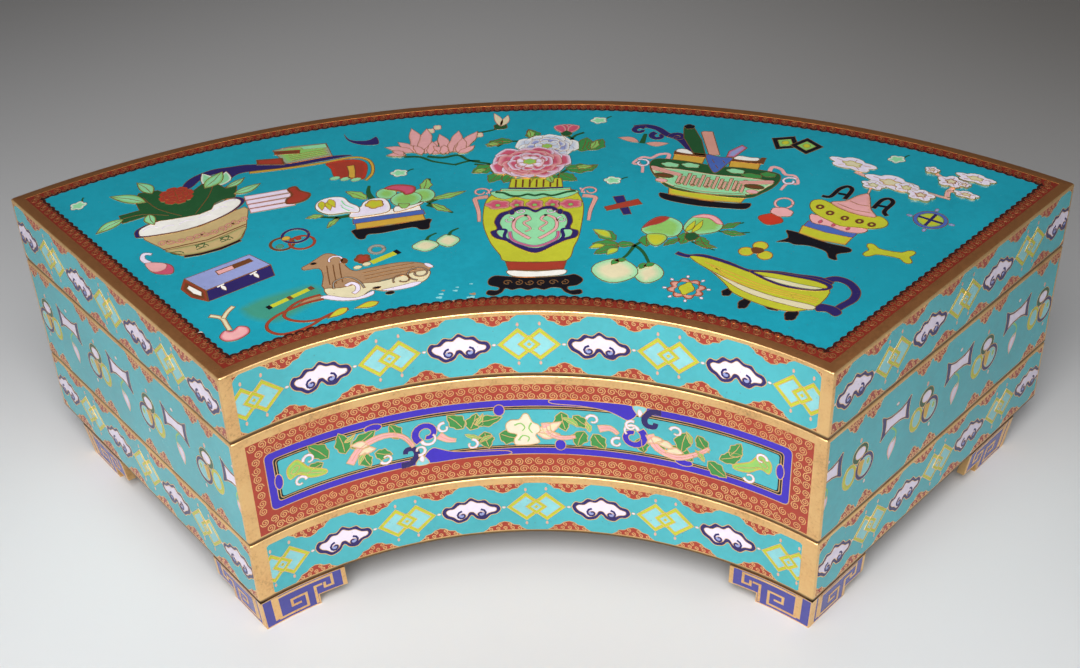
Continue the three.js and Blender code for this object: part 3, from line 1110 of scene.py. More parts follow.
def draw_peonies(pen):
    """A pink and a white peony with a bud, over lobed leaves."""
    for path in (
            [(9, 13), (12, 8), (10, 0)], [(16, 15), (12.5, 12.5), (11, 9)], [(-18, 4), (-14, 8), (-8, 8)],
            [(-20, -20), (-12, -16), (-4, -20), (0, -28)], [(16, -13), (10, -15), (5, -22)],
            [(-26, -10), (-19, -12), (-14, -16)]):
        pen.stroke(path, 1.2, 1, "pine")
    draw_leaf_spray(pen, [
        (-3, 9, 20, 10, 6), (-12, 8, 90, 9, 5), (-16, 9, 130, 8, 5), (15, -1, -10, 12, 8),
        (18, 0, -30, 11, 7), (9, -14, 270, 12, 7), (14, -16, 300, 9, 5), (-18, -12, 120, 10, 7),
        (-15, -17, 150, 9, 6), (2, -17, 200, 10, 7), (-1, -18, 160, 9, 7), (7, -18, 230, 9, 6),
        (-10, -18, 150, 8, 6)], "green", 2)
    draw_leaf_spray(pen, [
        (-5, 11, 10, 7, 3.4), (19, 1, -15, 8, 3.6), (13, -13, 275, 7, 3.2), (-21, -14, 125, 6, 3),
        (3, -19, 195, 7, 3.4), (-17, 6, 95, 6, 3)], "lime", 4)
    with pen.at(1.6, 3.4):
        draw_peony(pen, 28, 21, (
            (11, 1.0, "white", "frost"), (9, 0.7, "white", "violet"), (6, 0.42, "white", "frost")), 6, 12)
    with pen.at(-4.6, -9.6):
        draw_peony(pen, 35.6, 26, (
            (13, 1.0, "lilac", "rose"), (11, 0.78, "pink", "rose"), (9, 0.56, "lilac", "rose"),
            (7, 0.36, "pink", "lilac")), 14)
    for turn in (-32, 32, -12, 14):
        with pen.at(9, 13, turn * 0.8):
            pen.cell("pink", petal(10, 5.4, 0.1), 6 + abs(turn) / 60, wire=FINE, fade=("rose", 1.2))
    with pen.at(9, 11.6):
        pen.cell("pine", leaf(5, 4.6), 8, wire=FINE)


def draw_bud(pen):
    """A small pale bud with a green stalk."""
    pen.line([(1.6, -0.6), (4, 2.2), (5.4, 3)], 0.7, 1, "pine")
    pen.cell("white", lobed(6.6, 5.6, 5, 0.16), 2, wire=0.22, fade=("mint", 1.0))


def draw_basin(pen):
    """A sand-coloured basin full of snow, with a red flower among dark leaves."""
    pen.blob("sand", [
        (-17.4, -8), (-15.4, -18), (-12.6, -25), (-8.6, -30), (1, -31.4), (10.6, -30.2), (15, -25),
        (18.4, -18), (21.2, -8), (2, -12.6)], 1)
    pen.blob("khaki", [
        (-13.6, -22), (2, -24.4), (16.2, -21.4), (13.6, -26.6), (10.4, -29.6), (1, -30.8), (-8.2, -29.4),
        (-12, -25.4)], 2, fade=("sand", 2.2))
    for k in range(11):
        x = -13.4 + 3.1 * k
        curl = spiral(1.9, 1.2, 90 * k, 1, x=x, y=-19.2 + 0.011 * (x - 1.4) ** 2, n=10)
        pen.cell("salmon", band(curl, 0.9), 3, wire=0.16)
    for k in range(5):
        with pen.at(-9 + 4.6 * k, -27.4, 55 * (-1) ** k, raised=0.2 * k):
            pen.line(leaf(5, 2.2), 0.35, 3, "pine")
    pen.line([(-14.6, -21), (1.4, -23.2), (17, -20.4)], 0.5, 3, "brown")
    pen.cell("black", band([(-9.8, -29.6), (-4, -31.2), (3, -31.6), (11.4, -30)], 1.6), 3)
    rim = smooth([
        (-20.4, -6.4), (-18.4, -2.4), (-10, -0.4), (4, -2), (18, 0.8), (22.6, -1), (22.4, -5), (16, -9.4),
        (6, -12.2), (-4, -12.6), (-14, -10.4), (-19.6, -8.4)], 4)
    pen.cell("indigo", rim, 4)
    pen.cell("white", shrunk(rim, 0.93), 5)
    for x, y, across in (
            (-14, -5.6, 6), (-8, -7.6, 5), (-1, -8.2, 6), (6, -7.8, 5), (12.6, -5.6, 6), (17.6, -2.6, 5)):
        pen.line(ellipse(across, 0.7 * across, x, y, 8, 20, 160), 0.4, 6, "lilac")
    pen.cell("pine", [
        (-10, -0.8), (-12.6, 5), (-21.6, 4.6), (-21, 11), (-13.2, 10.8), (-12.6, 18.6), (-9.4, 23.4),
        (-2.4, 21.6), (0, 17), (6, 18), (9, 14), (13.4, 17), (18.2, 15.2), (20, 9.6), (25.4, 12.6), (24, 7),
        (20.6, 0), (16, 1), (12.6, 0), (10, -3.6), (5, -4.6), (0, -3.6), (-5, -2.4)], 6)
    for path in (
            [(-1, -2), (-7, 8), (-9, 19)], [(4, -3), (12, 6), (17, 14)], [(-5, 1), (-13, 7), (-20, 8)]):
        pen.stroke(path, 0.35, 7)
    for u, v, turn, long, wide in (
            (-9, 15, 42, 16, 6), (-20, 7.6, 112, 13, 5), (-5, 20, 12, 12, 5.4), (13, 13, -50, 14, 6.4),
            (21, 3, -80, 12, 4.6), (-11, 6, 175, 9, 4.6), (20, 9, -68, 10, 3.4)):
        with pen.at(u, v, turn):
            pen.cell("lime", leaf(long, wide, 0.6), 8, fade=("mint", 1.2))
            pen.line([(0, 0.1 * long), (0.5, 0.5 * long), (0, 0.9 * long)], 0.3, 9)
    with pen.at(2.2, 13.6):
        for ring, count in enumerate((8, 6, 4)):
            for k in range(count):
                with pen.at(0, 0, 360 * k / count + 20 * ring):
                    pen.cell(
                        "coral", petal(7.4 - 2.1 * ring, 5.2 - 0.8 * ring, 0.1),
                        10 + ring + 0.8 * k / count, wire=FINE, fade=("red", 0.8))


def draw_books_and_sceptre(pen):
    """Two books over a sceptre with a red and yellow head, and a bundle of pink scrolls below."""
    pen.blob("indigo", [
        (-39.6, -1.4), (-37.8, 3.4), (-33.6, 7.4), (-26, 10.2), (-19, 9.6), (-12.4, 8.8), (-4, 5.4), (4, 3),
        (20, 2.4), (27.6, -0.4), (20, -0.4), (2, 0.2), (-9, 2.2), (-15.4, 2.8), (-18.6, 1.6), (-23.4, -2.8),
        (-22, 2.6), (-24, 6), (-30.4, 4.6), (-35.6, -0.8)], 1)
    pen.strip("gold", [
        (-13, 1.9), (0, -0.3), (14, -1.7), (26, -2), (31.2, -5), (32.6, -10.4), (30.8, -17.6), (27, -22)],
        (1.7, 1.5), 2)
    pen.blob("coral", [
        (16.2, -2.4), (25, -3), (29.8, -6), (30.8, -11), (28.6, -17.6), (26.2, -20.8), (21, -18),
        (16.6, -15), (16.8, -8)], 1, fade=("red", 1.6))
    pen.cell("gold", [(23, -8), (26.2, -8.4), (25.4, -13), (24, -18.4), (21.2, -17.8), (22.6, -13)], 2)
    for k in range(3):
        pen.cell("mint", ellipse(4.4, 2.8, 16.6 + 3.6 * k, -15.6 - 2.1 * k, 10), 2, wire=FINE)
    for u, v, turn, long in ((-29, -4, 5, 13), (-26, -4, -25, 12)):
        with pen.at(u, v, turn):
            pen.cell("white", leaf(long, 6, 0.8), 3, fade=("mint", 1.0))
    pen.cell("ash", [
        (-1, 16), (6, 16.6), (20.4, 13.6), (20.2, 2.4), (1.6, 3), (0.4, 8.4)], 3, fade=("lime", 2.2))
    for k in range(4):
        pen.line([(4, 4.6 + 1.5 * k), (19.4, 4 + 1.5 * k)], 0.3, 5)
    pen.cell("mint", [(3, 16.2), (20, 13.2), (20, 9.6), (10.6, 11.8), (10, 14)], 4, wire=0.25)
    pen.cell("brown", [(-8.4, 11), (1.6, 8.4), (1.2, 2.6), (-9, 6.8)], 4, fade=("red", 0.8))
    pen.cell("red", [(-0.4, 15), (9.6, 12.2), (8.6, 9.2), (-1, 12)], 5, fade=("brown", 0.8))
    for k in range(4):
        y = -16.2 - 3.4 * k
        pen.cell("pink", [
            (-18.6, y + 0.8), (-1.6, y - 0.3), (-1.8, y - 3.4), (-18.8, y - 2.6)], 2 + 0.3 * k, wire=0.22,
            fade=("lilac", 0.7))
    pen.blob("brown", [
        (-2.4, -16.6), (1.4, -15.6), (2.4, -19.6), (5.4, -23.4), (3.2, -27.4), (-1, -28.8), (-5, -27.8),
        (-4.4, -24), (-1.8, -21.6)], 4, fade=("red", 1.0))


def draw_book_case(pen):
    """A pale blue folding case of books with two toggles."""
    pen.cell("indigo", [(-11.2, -13.6), (14, -10), (12.6, -17.4), (-12.8, -20.6)], 1)
    pen.cell("violet", [(-15.2, -2.2), (10, 0.6), (14, -10), (-11.2, -13.6)], 2, wire=0.3)
    pen.cell("red", [
        (-15.2, -2.2), (-11.2, -13.6), (-12.8, -20.6), (-17, -15), (-18.4, -8)], 1, fade=("brown", 1.0))
    pen.cell("white", [
        (-16.4, -8.6), (-15, -7), (-12.6, -13.6), (-13.6, -16.4), (-15.6, -13)], 2, wire=0.24)
    pen.cell("brown", [(-4.4, -3.4), (9, -1.9), (9.6, -4.6), (-4.2, -6.6)], 3)
    pen.cell("pink", [(-4.2, -3.8), (2.2, -3.1), (2.2, -5.6), (-4, -6.4)], 4, wire=FINE)
    for x, y in ((-5.6, -13), (6.8, -11.6)):
        with pen.at(x, y, 186):
            pen.cell("white", leaf(4.6, 1.8), 3, wire=FINE)
            pen.line([(-1.2, 0), (1.6, 0.5)], 0.6, 4, "white")


def draw_rings(pen):
    """Three linked rings."""
    for x, y, across, name, level in (
            (-5.4, -9.2, 8.4, "brown", 1), (1.4, -11.2, 9.0, "red", 2), (0.4, -5.8, 9.6, "indigo", 3)):
        pen.cell(name, band(ellipse(across, across, x, y, 24, 0, 359), 1.2), level, wire=FINE)
    pen.cell("moss", ellipse(3.0, 3.0, -6.6, -10.6, 10), 4, wire=FINE)
    pen.cell("gold", ellipse(3.4, 3.0, -3.2, -6.2, 10), 4, wire=FINE)
    pen.cell("red", ellipse(2.6, 2.4, 0.8, -8.2, 10), 4, wire=FINE)


def draw_peach_charm(pen):
    """A pink peach with a curled stalk."""
    pen.strip("lilac", [(2.6, 8), (0.4, 10), (-1.4, 7), (-0.6, 3)], (1.4, 2.4), 1, steps=4, wire=FINE)
    pen.blob("rose", [
        (-1.6, 2), (3.2, 0.4), (5.2, -3.2), (4.4, -7), (2.4, -8.4), (-1.4, -5.4), (-2.6, -1.6)], 2)
    pen.blob("pink", [
        (-1.8, 4), (2.4, 1.2), (4, -1.6), (2, -4.2), (-1.6, -3.6), (-2.6, -0.4)], 3, wire=FINE)


def draw_flower_tray(pen):
    """White lilies and round fruit in a shallow tray on a black stand."""
    pen.blob("black", [
        (-12.8, -10.4), (0, -11), (14.8, -10.2), (14.6, -14), (13.6, -17.4), (10.4, -17.2), (8, -14.8),
        (-3, -15.8), (-8.2, -15.4), (-9.6, -18), (-12, -17.6), (-13.2, -14)], 1)
    for name, top, low, half in (
            ("gold", -6.4, -10.8, 12.6), ("azure", -3.2, -6.8, 13.2), ("white", 0.4, -3.6, 12.4)):
        pen.cell(name, [(0.8 - half, top), (0.8 + half, top), (1 + half, low), (0.6 - half, low)], 2)
    for points in (
            [(-3.4, 10), (-4, 15), (-3, 20)], [(-8, 1), (-16, -0.4), (-24, 2)],
            [(17, 8), (18, 13), (20, 19)], [(16, 1), (20, 3), (27, 5)], [(16, 0), (20, -4), (24, -8.6)],
            [(-17, -0.4), (-20, -3)]):
        pen.stroke(points, 2.6, 1, "pine", 1.0)
    draw_leaf_spray(pen, [
        (-5, 10, 42, 11, 4.6), (16, 10, -18, 10, 4.6), (18, 3.4, -80, 14, 3.6), (17.5, 0, -142, 10, 3.6),
        (-22, 2.4, 92, 7, 3), (-17, -1, 140, 8, 2.6)], "lime", 3)
    for k, (u, v, wide, tall) in enumerate(((2.4, 12, 8, 8.4), (15.6, 7, 9, 10.4), (9, 5.8, 12, 11))):
        pen.cell("mint", ellipse(wide, tall, u, v), 5 + k, fade=("lime", 2.4))
    pen.blob("red", [
        (2, 15.4), (5, 17.6), (9.4, 17), (13.6, 14.2), (12.8, 9.8), (9.2, 8.6), (7.6, 11.8)], 9,
        fade=("rose", 1.2))
    pen.blob("lime", [(5.4, 3.2), (7.6, 2.4), (9.8, 1.8), (8, -1), (6, -0.4)], 9.5)
    pen.blob("white", [(3.4, -2.8), (9.4, -1.6), (13.8, 0.4), (14.6, 1.9), (9, 0.6), (4, 1.4)], 9)
    pen.blob("white", [
        (-12.4, 1.4), (-8.2, 5), (-7, 7.6), (-3.4, 9.6), (1.4, 8.2), (2.6, 2), (0.6, -2), (-7, -2.6),
        (-13, -2)], 9, fade=("lilac", 1.4))
    pen.cell("gold", lobed(7, 6.6, 5, x=-3, y=5.2), 10, fade=("lemon", 1.2))
    pen.blob("white", [
        (-24.6, 7.4), (-23.4, 12.6), (-18.6, 14.8), (-13.6, 13.4), (-11.6, 8.6), (-8.8, 4.8), (-9.4, 0.8),
        (-14, 1.8), (-20.6, 2.2)], 11, fade=("lilac", 1.6))
    for u, v, turn in ((-22.4, 5.4, -4), (-19.4, 4.6, 2), (-17.4, 6.2, 12)):
        with pen.at(u, v, turn):
            pen.cell("gold", petal(7.4, 3.4), 12 + 0.1 * turn / 2, wire=FINE, fade=("lemon", 0.8))
    for points in ([(-14.6, 11), (-13.6, 7.4), (-10.8, 4)], [(-12.6, 2.6), (-14.6, 5.4), (-15.2, 8)]):
        pen.stroke(points, 0.6, 14, "mint", 0.3)


def draw_persimmons(pen):
    """A pair of pale persimmons on dark stalks."""
    for x, y, wide, tall in ((-4.4, -1, 9.4, 7.6), (3.8, 0.8, 8.2, 8.4)):
        pen.cell("mint", lobed(wide, tall, 4, 0.1, x, y, 45), 2, fade=("cream", 1.8))
        pen.stroke([(x + 0.6, y + 3.4), (x + 1.8, y + 6), (x + 4.6, y + 7.8)], 1.4, 3, "pine", 0.7)


def draw_magnolia(pen):
    """A branch of pink magnolias with long upright petals."""
    for path, width in (
            ([(-17, -7), (-11, -8), (-6, -12.4), (2, -16.4)], 1.5),
            ([(-8, -8), (-2, -10), (4, -9), (8, -14), (15.6, -18)], 1.7),
            ([(2, -16.6), (8, -14.4), (12, -15)], 1.4), ([(12, 8), (19, 9.6), (24, 12.4)], 1.3),
            ([(15.4, -18), (15, -22), (18, -27)], 1.6)):
        pen.stroke(path, width, 1, "pine", width * 0.7)
    with pen.at(22.4, 12):
        pen.cell("pine", lobed(6, 5, 4), 2)
        for turn, long in ((8, 12.6), (-22, 10.6)):
            with pen.at(0, 0, turn):
                pen.cell("pink", leaf(long, 3.4, 0.5), 3, wire=FINE, fade=("cream", 0.8))
    petals = [
        (-11, -5, 6, 22), (-10, -5, -8, 21), (-12, -5, 34, 13), (-13, -4, 62, 13), (-9, -6, -28, 12),
        (-7, -7, -8, 11), (-6, -7, -44, 9), (0, -8, 8, 18), (1, -7, -14, 19), (2, -7, -34, 20),
        (4, -8, -12, 13), (-1, -8, 30, 9), (4, -8, -52, 9), (-10, -7, 20, 9), (-2, -8, -6, 8),
        (-16, -6, 84, 8), (-17, -6, 50, 6)]
    for k, (u, v, turn, long) in enumerate(petals):
        with pen.at(u, v, turn):
            pen.cell(
                "salmon", leaf(long, 0.16 * long + 2.4, 0.5, 2), 3 + 0.7 * k, wire=FINE, fade=("pink", 0.7))
    for u, v in ((-5.6, 13), (-2.8, 15.6), (13.4, 6.4)):
        pen.cell("pink", lobed(3.6, 4.4, 4, x=u, y=v), 2, wire=FINE, fade=("cream", 0.8))


def draw_ram(pen):
    """A resting ram, tan above and cream below, with a lilac-edged fleece."""
    pen.blob("tan", [
        (-20.2, 8.4), (-19.6, 6.2), (-14.6, 5.6), (-14.2, 0), (-15.2, -8), (-4, -10), (8, -9), (20, -9),
        (22.6, -6), (19.6, -2.4), (13, 0.2), (4, 0.4), (-2.4, 0), (-4.8, 3), (-6, 9.4), (-7.4, 13),
        (-10.6, 14.8), (-14.4, 12.4), (-17.6, 10)], 1)
    pen.blob("cream", [
        (-15.2, -7.6), (-9.6, -8.8), (-3, -8.4), (4, -9.6), (12, -8.4), (17, -7.6), (21.6, -8.4),
        (20.8, -12), (17.6, -15), (11, -16.4), (4, -16.2), (0, -14), (-5, -17.6), (-10, -16.8),
        (-14.4, -13)], 2)
    pen.blob("lilac", [
        (-17.6, -12.6), (-14.6, -12), (-10, -15), (-5, -16.6), (0.4, -14.4), (0, -17), (-5, -18.2),
        (-10.6, -17.2), (-15, -14.8)], 3, wire=FINE)
    pen.blob("lilac", [(3, -15), (9, -14.6), (15, -14), (17.4, -15), (14, -16.8), (7, -16.8)], 3, wire=FINE)
    pen.blob("lilac", [(20.6, -3.6), (22.4, -4), (23.6, -6.8), (21.6, -6.6)], 3, wire=FINE)
    pen.strip("lilac", [
        (-8, -8.6), (-5.6, -7.4), (-4, -9.6), (-4.6, -12.6), (-6.4, -14)], 1.8, 4, steps=4, wire=FINE)
    pen.strip("ash", [(-12, -9), (-11, -4.6), (-6, -3.4), (-3, -7), (-2, -12)], 1.0, 4, steps=4)
    pen.cell("ash", band(spiral(4.6, 1.3, 250, -1, 0.3, 18, 17.8, -9), 0.9), 4)
    pen.cell("ash", band(spiral(3.6, 1.0, 200, -1, 0.4, 14, 11.6, -11), 0.8), 4)
    for x in (-12.8, -10.6, -8.4):
        pen.stroke([(x + 1.2, 6.5), (x + 0.6, 1), (x, -6)], 0.4, 3)
    for y in (-2.4, -4.6, -6.6):
        pen.line([(-0.6, y), (8, y + 0.4), (17.4, y + 0.2)], 0.35, 3)
    pen.cell("lilac", band(ellipse(4.6, 5.0, -8, 9.2, 16, -60, 200), 1.0), 3, wire=FINE)
    pen.cell("brown", ellipse(2.6, 4.0, -5.2, 7.6, 10), 3, wire=FINE)
    pen.cell("black", ellipse(2.4, 1.8, -15.8, 9.4, 10), 3, wire=FINE)
    for x, y, wide, tall in ((5.6, -17.8, 3.4, 2.2), (2, -13.2, 3.2, 1.6)):
        pen.cell("black", ellipse(wide, tall, x, y, 10), 5, wire=FINE)
    pen.cell("brown", lobed(6, 6.2, 5, x=1.2, y=6.8), 2, fade=("red", 1.2))
    pen.cell("ash", band(ellipse(5.2, 5.2, 7.2, 11.2, 18, 0, 359), 1.5), 2, wire=FINE)
    for x, y in ((-1.6, 1.8), (1.8, 2.8)):
        pen.cell("cream", ellipse(3.4, 2.6, x, y, 10), 4, wire=FINE)
    pen.line([(3.6, 3.2), (13.2, 6.8)], 2.4, 4, "lemon")
    pen.line([(12.8, 6.6), (14.4, 7.3)], 2.8, 5, "black")


def draw_cords(pen):
    """Looped cords with yellow tassels, an inlaid rod and a pink fungus on branched stems."""
    pen.blob("turquoise", [
        (-12, 10), (-4, 13), (6, 13), (15, 12), (18, 7), (16, 1), (8, -3), (-2, -6), (-9, -2),
        (-12.6, 4)], 0.4, steps=4, wire=0, fade=("moss", 3.4))
    for level, path in (
            (2, [(19, -9.4), (10, -10.2), (5, -9.2), (1, -6), (-0.2, -2.4), (3, 1.2), (8, 3.4), (15, 3.4)]),
            (3, [(15, 0.4), (9, 1), (4, 0.4), (-2, -1), (-6.6, -4), (-7.6, -8), (-5, -12), (0, -13),
            (6, -12.2), (11, -10), (16, -9), (20, -9.8)])):
        pen.strip("brown", path, 1.3, level, wire=FINE, fade=("red", 0.2))
    pen.blob("red", [
        (5, 0.4), (8.6, 3), (14.6, 3.4), (15.4, 0.4), (10, 1)], 1, wire=FINE, fade=("tan", 0.6))
    for u, v, turn in ((21.6, -10.2, -84), (11.6, -11.4, -62)):
        with pen.at(u, v, turn - 10):
            pen.cell("gold", petal(9, 4.4), 4, fade=("lemon", 1.0))
    pen.line([(-2.8, 4.9), (12.6, 8.6)], 1.9, 3, "lemon")
    for x, name in ((-3.6, "black"), (4.4, "brown"), (12.8, "brown")):
        pen.line([(x, 4.9 + 0.24 * (x + 2.8)), (x + 1.6, 5.3 + 0.24 * (x + 2.8))], 2.2, 4, name)
    pen.strip(
        "tan", [(-22, 10.4), (-18.8, 7), (-18.6, 2), (-18.6, -1.4)], 2.0, 2, wire=0.22, fade=("cream", 0.5))
    pen.strip("tan", [(-13, 11.8), (-16, 9.4), (-18.4, 6.4)], 2.0, 3, wire=0.22, fade=("cream", 0.5))
    pen.blob("rose", [
        (-23, -3.4), (-20.4, -0.6), (-18.2, -2), (-15.4, -0.4), (-12.8, -2.4), (-13.4, -6), (-18, -8),
        (-22, -6.8)], 3, steps=4, fade=("pink", 1.6))
    pen.cell("white", ellipse(2, 2.4, -27.6, 2, 8), 1, wire=FINE)


def draw_cauldron(pen):
    """A wide bronze cauldron full of scrolls, blades and a sceptre, on a black base."""
    pen.blob("black", [
        (-17.6, -23.4), (-10, -24.6), (0, -25), (10, -24.4), (16.2, -22.8), (15.4, -27.4), (8, -28.8),
        (-2, -29.6), (-12, -28.8), (-16.8, -27)], 1)
    pen.cell("gold", [
        (-15.6, -19), (14, -18.6), (12.8, -23.6), (0, -25.2), (-14.6, -24)], 2, fade=("lemon", 1.6))
    for mirror, x in ((True, -2.5), (False, -0.5)):
        with pen.at(x, 0, mirror=mirror):
            pen.strip("pink", [
                (19, -2), (19, 5.6), (22.6, 5), (25, 1.4), (28.6, 1), (30.6, -4.4), (27, -5),
                (25.4, -10.6)], (1.8, 1.2), 1, steps=4, wire=FINE)
            pen.cell("lilac", band(spiral(3.2, 1.0, 40, 1, 0.4, 12, 27.4, -3.4), 1.2), 2, wire=FINE)
    pen.strip("indigo", [
        (-11.6, 7.6), (-15, 12.6), (-20.4, 19), (-26, 21.4), (-31, 25.4), (-36, 26.4), (-40.4, 24.4)],
        (3.4, 3.0), 1, wire=FINE)
    for x, y, start, hand in ((-29.4, 19.4, 120, 1), (-37.6, 22.4, 60, 1), (-21.6, 20.6, 200, -1)):
        pen.cell("indigo", band(spiral(3.0, 0.9, start, hand, 0.35, 12, x, y), 2.8, 1.6), 2, wire=FINE)
    pen.cell("pine", [
        (-12, 7.6), (-19.4, 20.4), (-21.4, 28.6), (-20, 31.4), (-17, 29.6), (-12, 20.6), (-7.4, 8)], 3)
    pen.cell("black", lobed(4.4, 4.2, 5, x=-19.2, y=30), 4, wire=FINE)
    pen.cell("salmon", [(-6.6, 8.6), (-13.8, 26.4), (-13, 27.8), (-9.2, 28.2), (-2.4, 10)], 4)
    pen.cell("rose", [(0, 9), (0, 14), (4, 20.4), (6.6, 18.4), (3.4, 9.6)], 3, fade=("violet", 1.2))
    pen.line([(-34.6, 20), (-34, 12)], 1.4, 1, "pine", 2.4)
    for turn in (-76, 78):
        with pen.at(-34 - turn / 60, 12.4, turn):
            pen.cell("pink", leaf(9.4, 3.8, 0.8), 2, wire=0.22, fade=("salmon", 0.8))
    for x0, x1 in ((-19.4, -7.4), (2.6, 14)):
        pen.cell("gold", [(x0, 1.4), (x1, 1.4), (x1, 7), (x0 - 0.4, 6.6)], 2)
        pen.cell("brown", [(x0 - 0.6, 6.4), (x1, 6.8), (x1 + 0.6, 9.6), (x0 - 0.8, 9.2)], 3)
    pen.blob("white", [(-19.4, 8.4), (-19, 11), (-15.6, 11.4), (-12.4, 8)], 4)
    pen.blob("white", [(3, 8.4), (4.6, 11.4), (9, 11.2), (12.6, 11.4), (12.4, 9), (8, 8)], 4)
    pen.cell("brown", [(12.4, 7), (15, 7), (15.2, 12.2), (13.2, 12)], 4)
    bowl = smooth([
        (-27, -2), (-25.4, -8), (-20.6, -14.8), (-14.4, -20), (-2, -21), (13.6, -20), (18.8, -15),
        (22.4, -8.6), (23.4, -2), (20.6, 1.8), (8, 2.4), (-2, 1.2), (-14, 2.2), (-24.6, 1.6)], 3)
    pen.cell("pine", bowl, 5)
    pen.blob("cream", [
        (-25, -6.2), (-14, -4.6), (-2, -5.4), (10, -4.6), (21, -5.4), (20, -10), (14, -17.4), (-2, -19.4),
        (-15, -18), (-22, -12)], 6, fade=("mint", 1.0))
    for x, y, wide in ((-19, -2.2, 7), (-11.4, -0.8, 7), (6, -1, 7), (12.6, -3, 8), (18.4, -0.6, 6)):
        pen.cell("mint" if wide == 7 else "green", lobed(wide, 3.6, 5, x=x, y=y), 6, wire=FINE)
    for k in range(5):
        x = -13.4 + 5.3 * k
        for step, path in enumerate((
                [(x, -8), (x, -15.6), (x + 1.6, -15.6), (x + 1.6, -9.6)],
                [(x + 3.3, -6.8), (x + 3.3, -16.4)])):
            for a, b in zip(path, path[1:]):
                pen.cell("cream", band([a, b], 1.5), 7 + 0.3 * step, wire=0.3, fade=("salmon", 0.2))
    for mirror, x in ((True, -4.4), (False, 0)):
        with pen.at(x, 0, mirror=mirror):
            pen.blob("pink", [
                (9, -8), (14, -6.6), (21, -4.6), (20.4, -7.6), (14, -9.4), (9.6, -10)], 8, wire=FINE,
                fade=("salmon", 0.8))
            pen.cell("pine", ellipse(8, 4.0, 15, -11, 12), 8, wire=FINE, fade=("brown", 1.0))
            pen.cell("pink", ellipse(5, 3.0, 15, -14.8, 10), 9, wire=FINE)
    pen.strip("mint", [(-14, -18), (-2, -19.8), (13.4, -17.6)], 1.5, 8)
    pen.blob("azure", [(-7.8, 9), (-2, 8.2), (3, 8.6), (1.4, 2), (-1.2, -4.6), (-4.6, 0)], 9)
    for x, y in ((-4.6, 5.6), (-0.6, 6), (-2.4, 1.6)):
        pen.line([(x, y), (x + 1.4, y - 2.4)], 0.35, 10)


def draw_peaches(pen):
    """Two peaches over a pair of pale persimmons, with lobed leaves."""
    for path, width in (
            ([(-14, -5), (-9, -5), (-5, -8.6), (-1.6, -15)], 1.8),
            ([(-9, -5), (-10, -11), (-12, -16)], 1.5), ([(-9, -5), (-6, -1), (-1, 0)], 1.4),
            ([(18, 12), (22, 16), (26, 18.6)], 1.0), ([(18, 11), (23, 10.6), (29, 12.4)], 1.0),
            ([(10, 2), (14, 0), (19, -2)], 1.0)):
        pen.stroke(path, width, 1, "pine", width * 0.6)
    draw_leaf_spray(pen, [
        (-16, -3, 60, 11, 6), (-14, -6, 95, 10, 5.6), (-14, -7, 130, 10, 5.4), (-6, 3, 190, 8, 5),
        (9, 8, 165, 9, 6), (12, 6, 210, 9, 5), (18, 13, -50, 9, 3.4), (19, 11, -92, 9, 3.6),
        (11, 2, -105, 9, 3.2), (6, 3, 140, 8, 3), (-9, -4, 110, 8, 4)], "green", 2)
    for level, x, y, wide, tall in ((5, -0.4, -21.4, 10.4, 12.6), (6, -12, -22.4, 16, 15)):
        pen.cell("mint", lobed(wide, tall, 4, 0.05, x, y, 45), level, fade=("cream", 3.4))
    for x, y, turn in ((-12.4, -15, 0), (-9.6, -14.4, -40), (-3, -15.4, 10), (0.4, -15, -30)):
        with pen.at(x, y, turn + 160):
            pen.cell("green", leaf(4.6, 2.8), 8, wire=FINE)
    peach = smooth([
        (-9, 6.6), (-7.4, 12.6), (-4.2, 16.6), (0.6, 16.2), (4.6, 13), (5.4, 8), (3.6, 3.8), (-2, 2.6),
        (-7, 3.6)], 4)
    pen.cell("mint", peach, 5, fade=("lime", 4.0))
    pen.blob("rose", [
        (-8.8, 7), (-7.2, 12.6), (-4.2, 16.2), (-0.6, 16), (-3, 11.6), (-6.4, 9)], 6, wire=FINE,
        fade=("red", 0.9))
    pen.blob("mint", [
        (5.4, 10), (6.6, 17), (10.6, 20.8), (15.6, 20), (19, 15.6), (18, 10.6), (13, 7.4), (8.6, 6.8)], 7,
        steps=4, fade=("lime", 4.4))
    pen.blob("rose", [
        (7, 18), (10.8, 21.2), (15.6, 20.4), (19, 15.8), (16.6, 15.2), (13, 18.4)], 8, wire=FINE,
        fade=("pink", 0.9))
    for x, long in ((6.6, 9), (9, 10)):
        with pen.at(x, 7.4, -14):
            pen.cell("lemon", leaf(long, 2.4, 0.4), 9, wire=0.22)
    with pen.at(10, 8, 170):
        pen.cell("pine", leaf(6.6, 5.4, 0, 2), 9)
    pen.blob("lime", [
        (-6.4, 2.6), (-3.4, 4.4), (0.4, 4), (1.4, 1), (-1, -3.8), (-4.4, -2.4)], 9, fade=("lemon", 1.0))
    for u, v, turn, long, wide in ((-18, -1.6, 62, 9, 4.2), (-19, -7, 120, 6, 3.2), (-14, -8, 150, 6, 3.4)):
        with pen.at(u, v, turn):
            pen.cell("lime", leaf(long, wide, 0.5), 5, wire=0.22, fade=("lemon", 0.9))


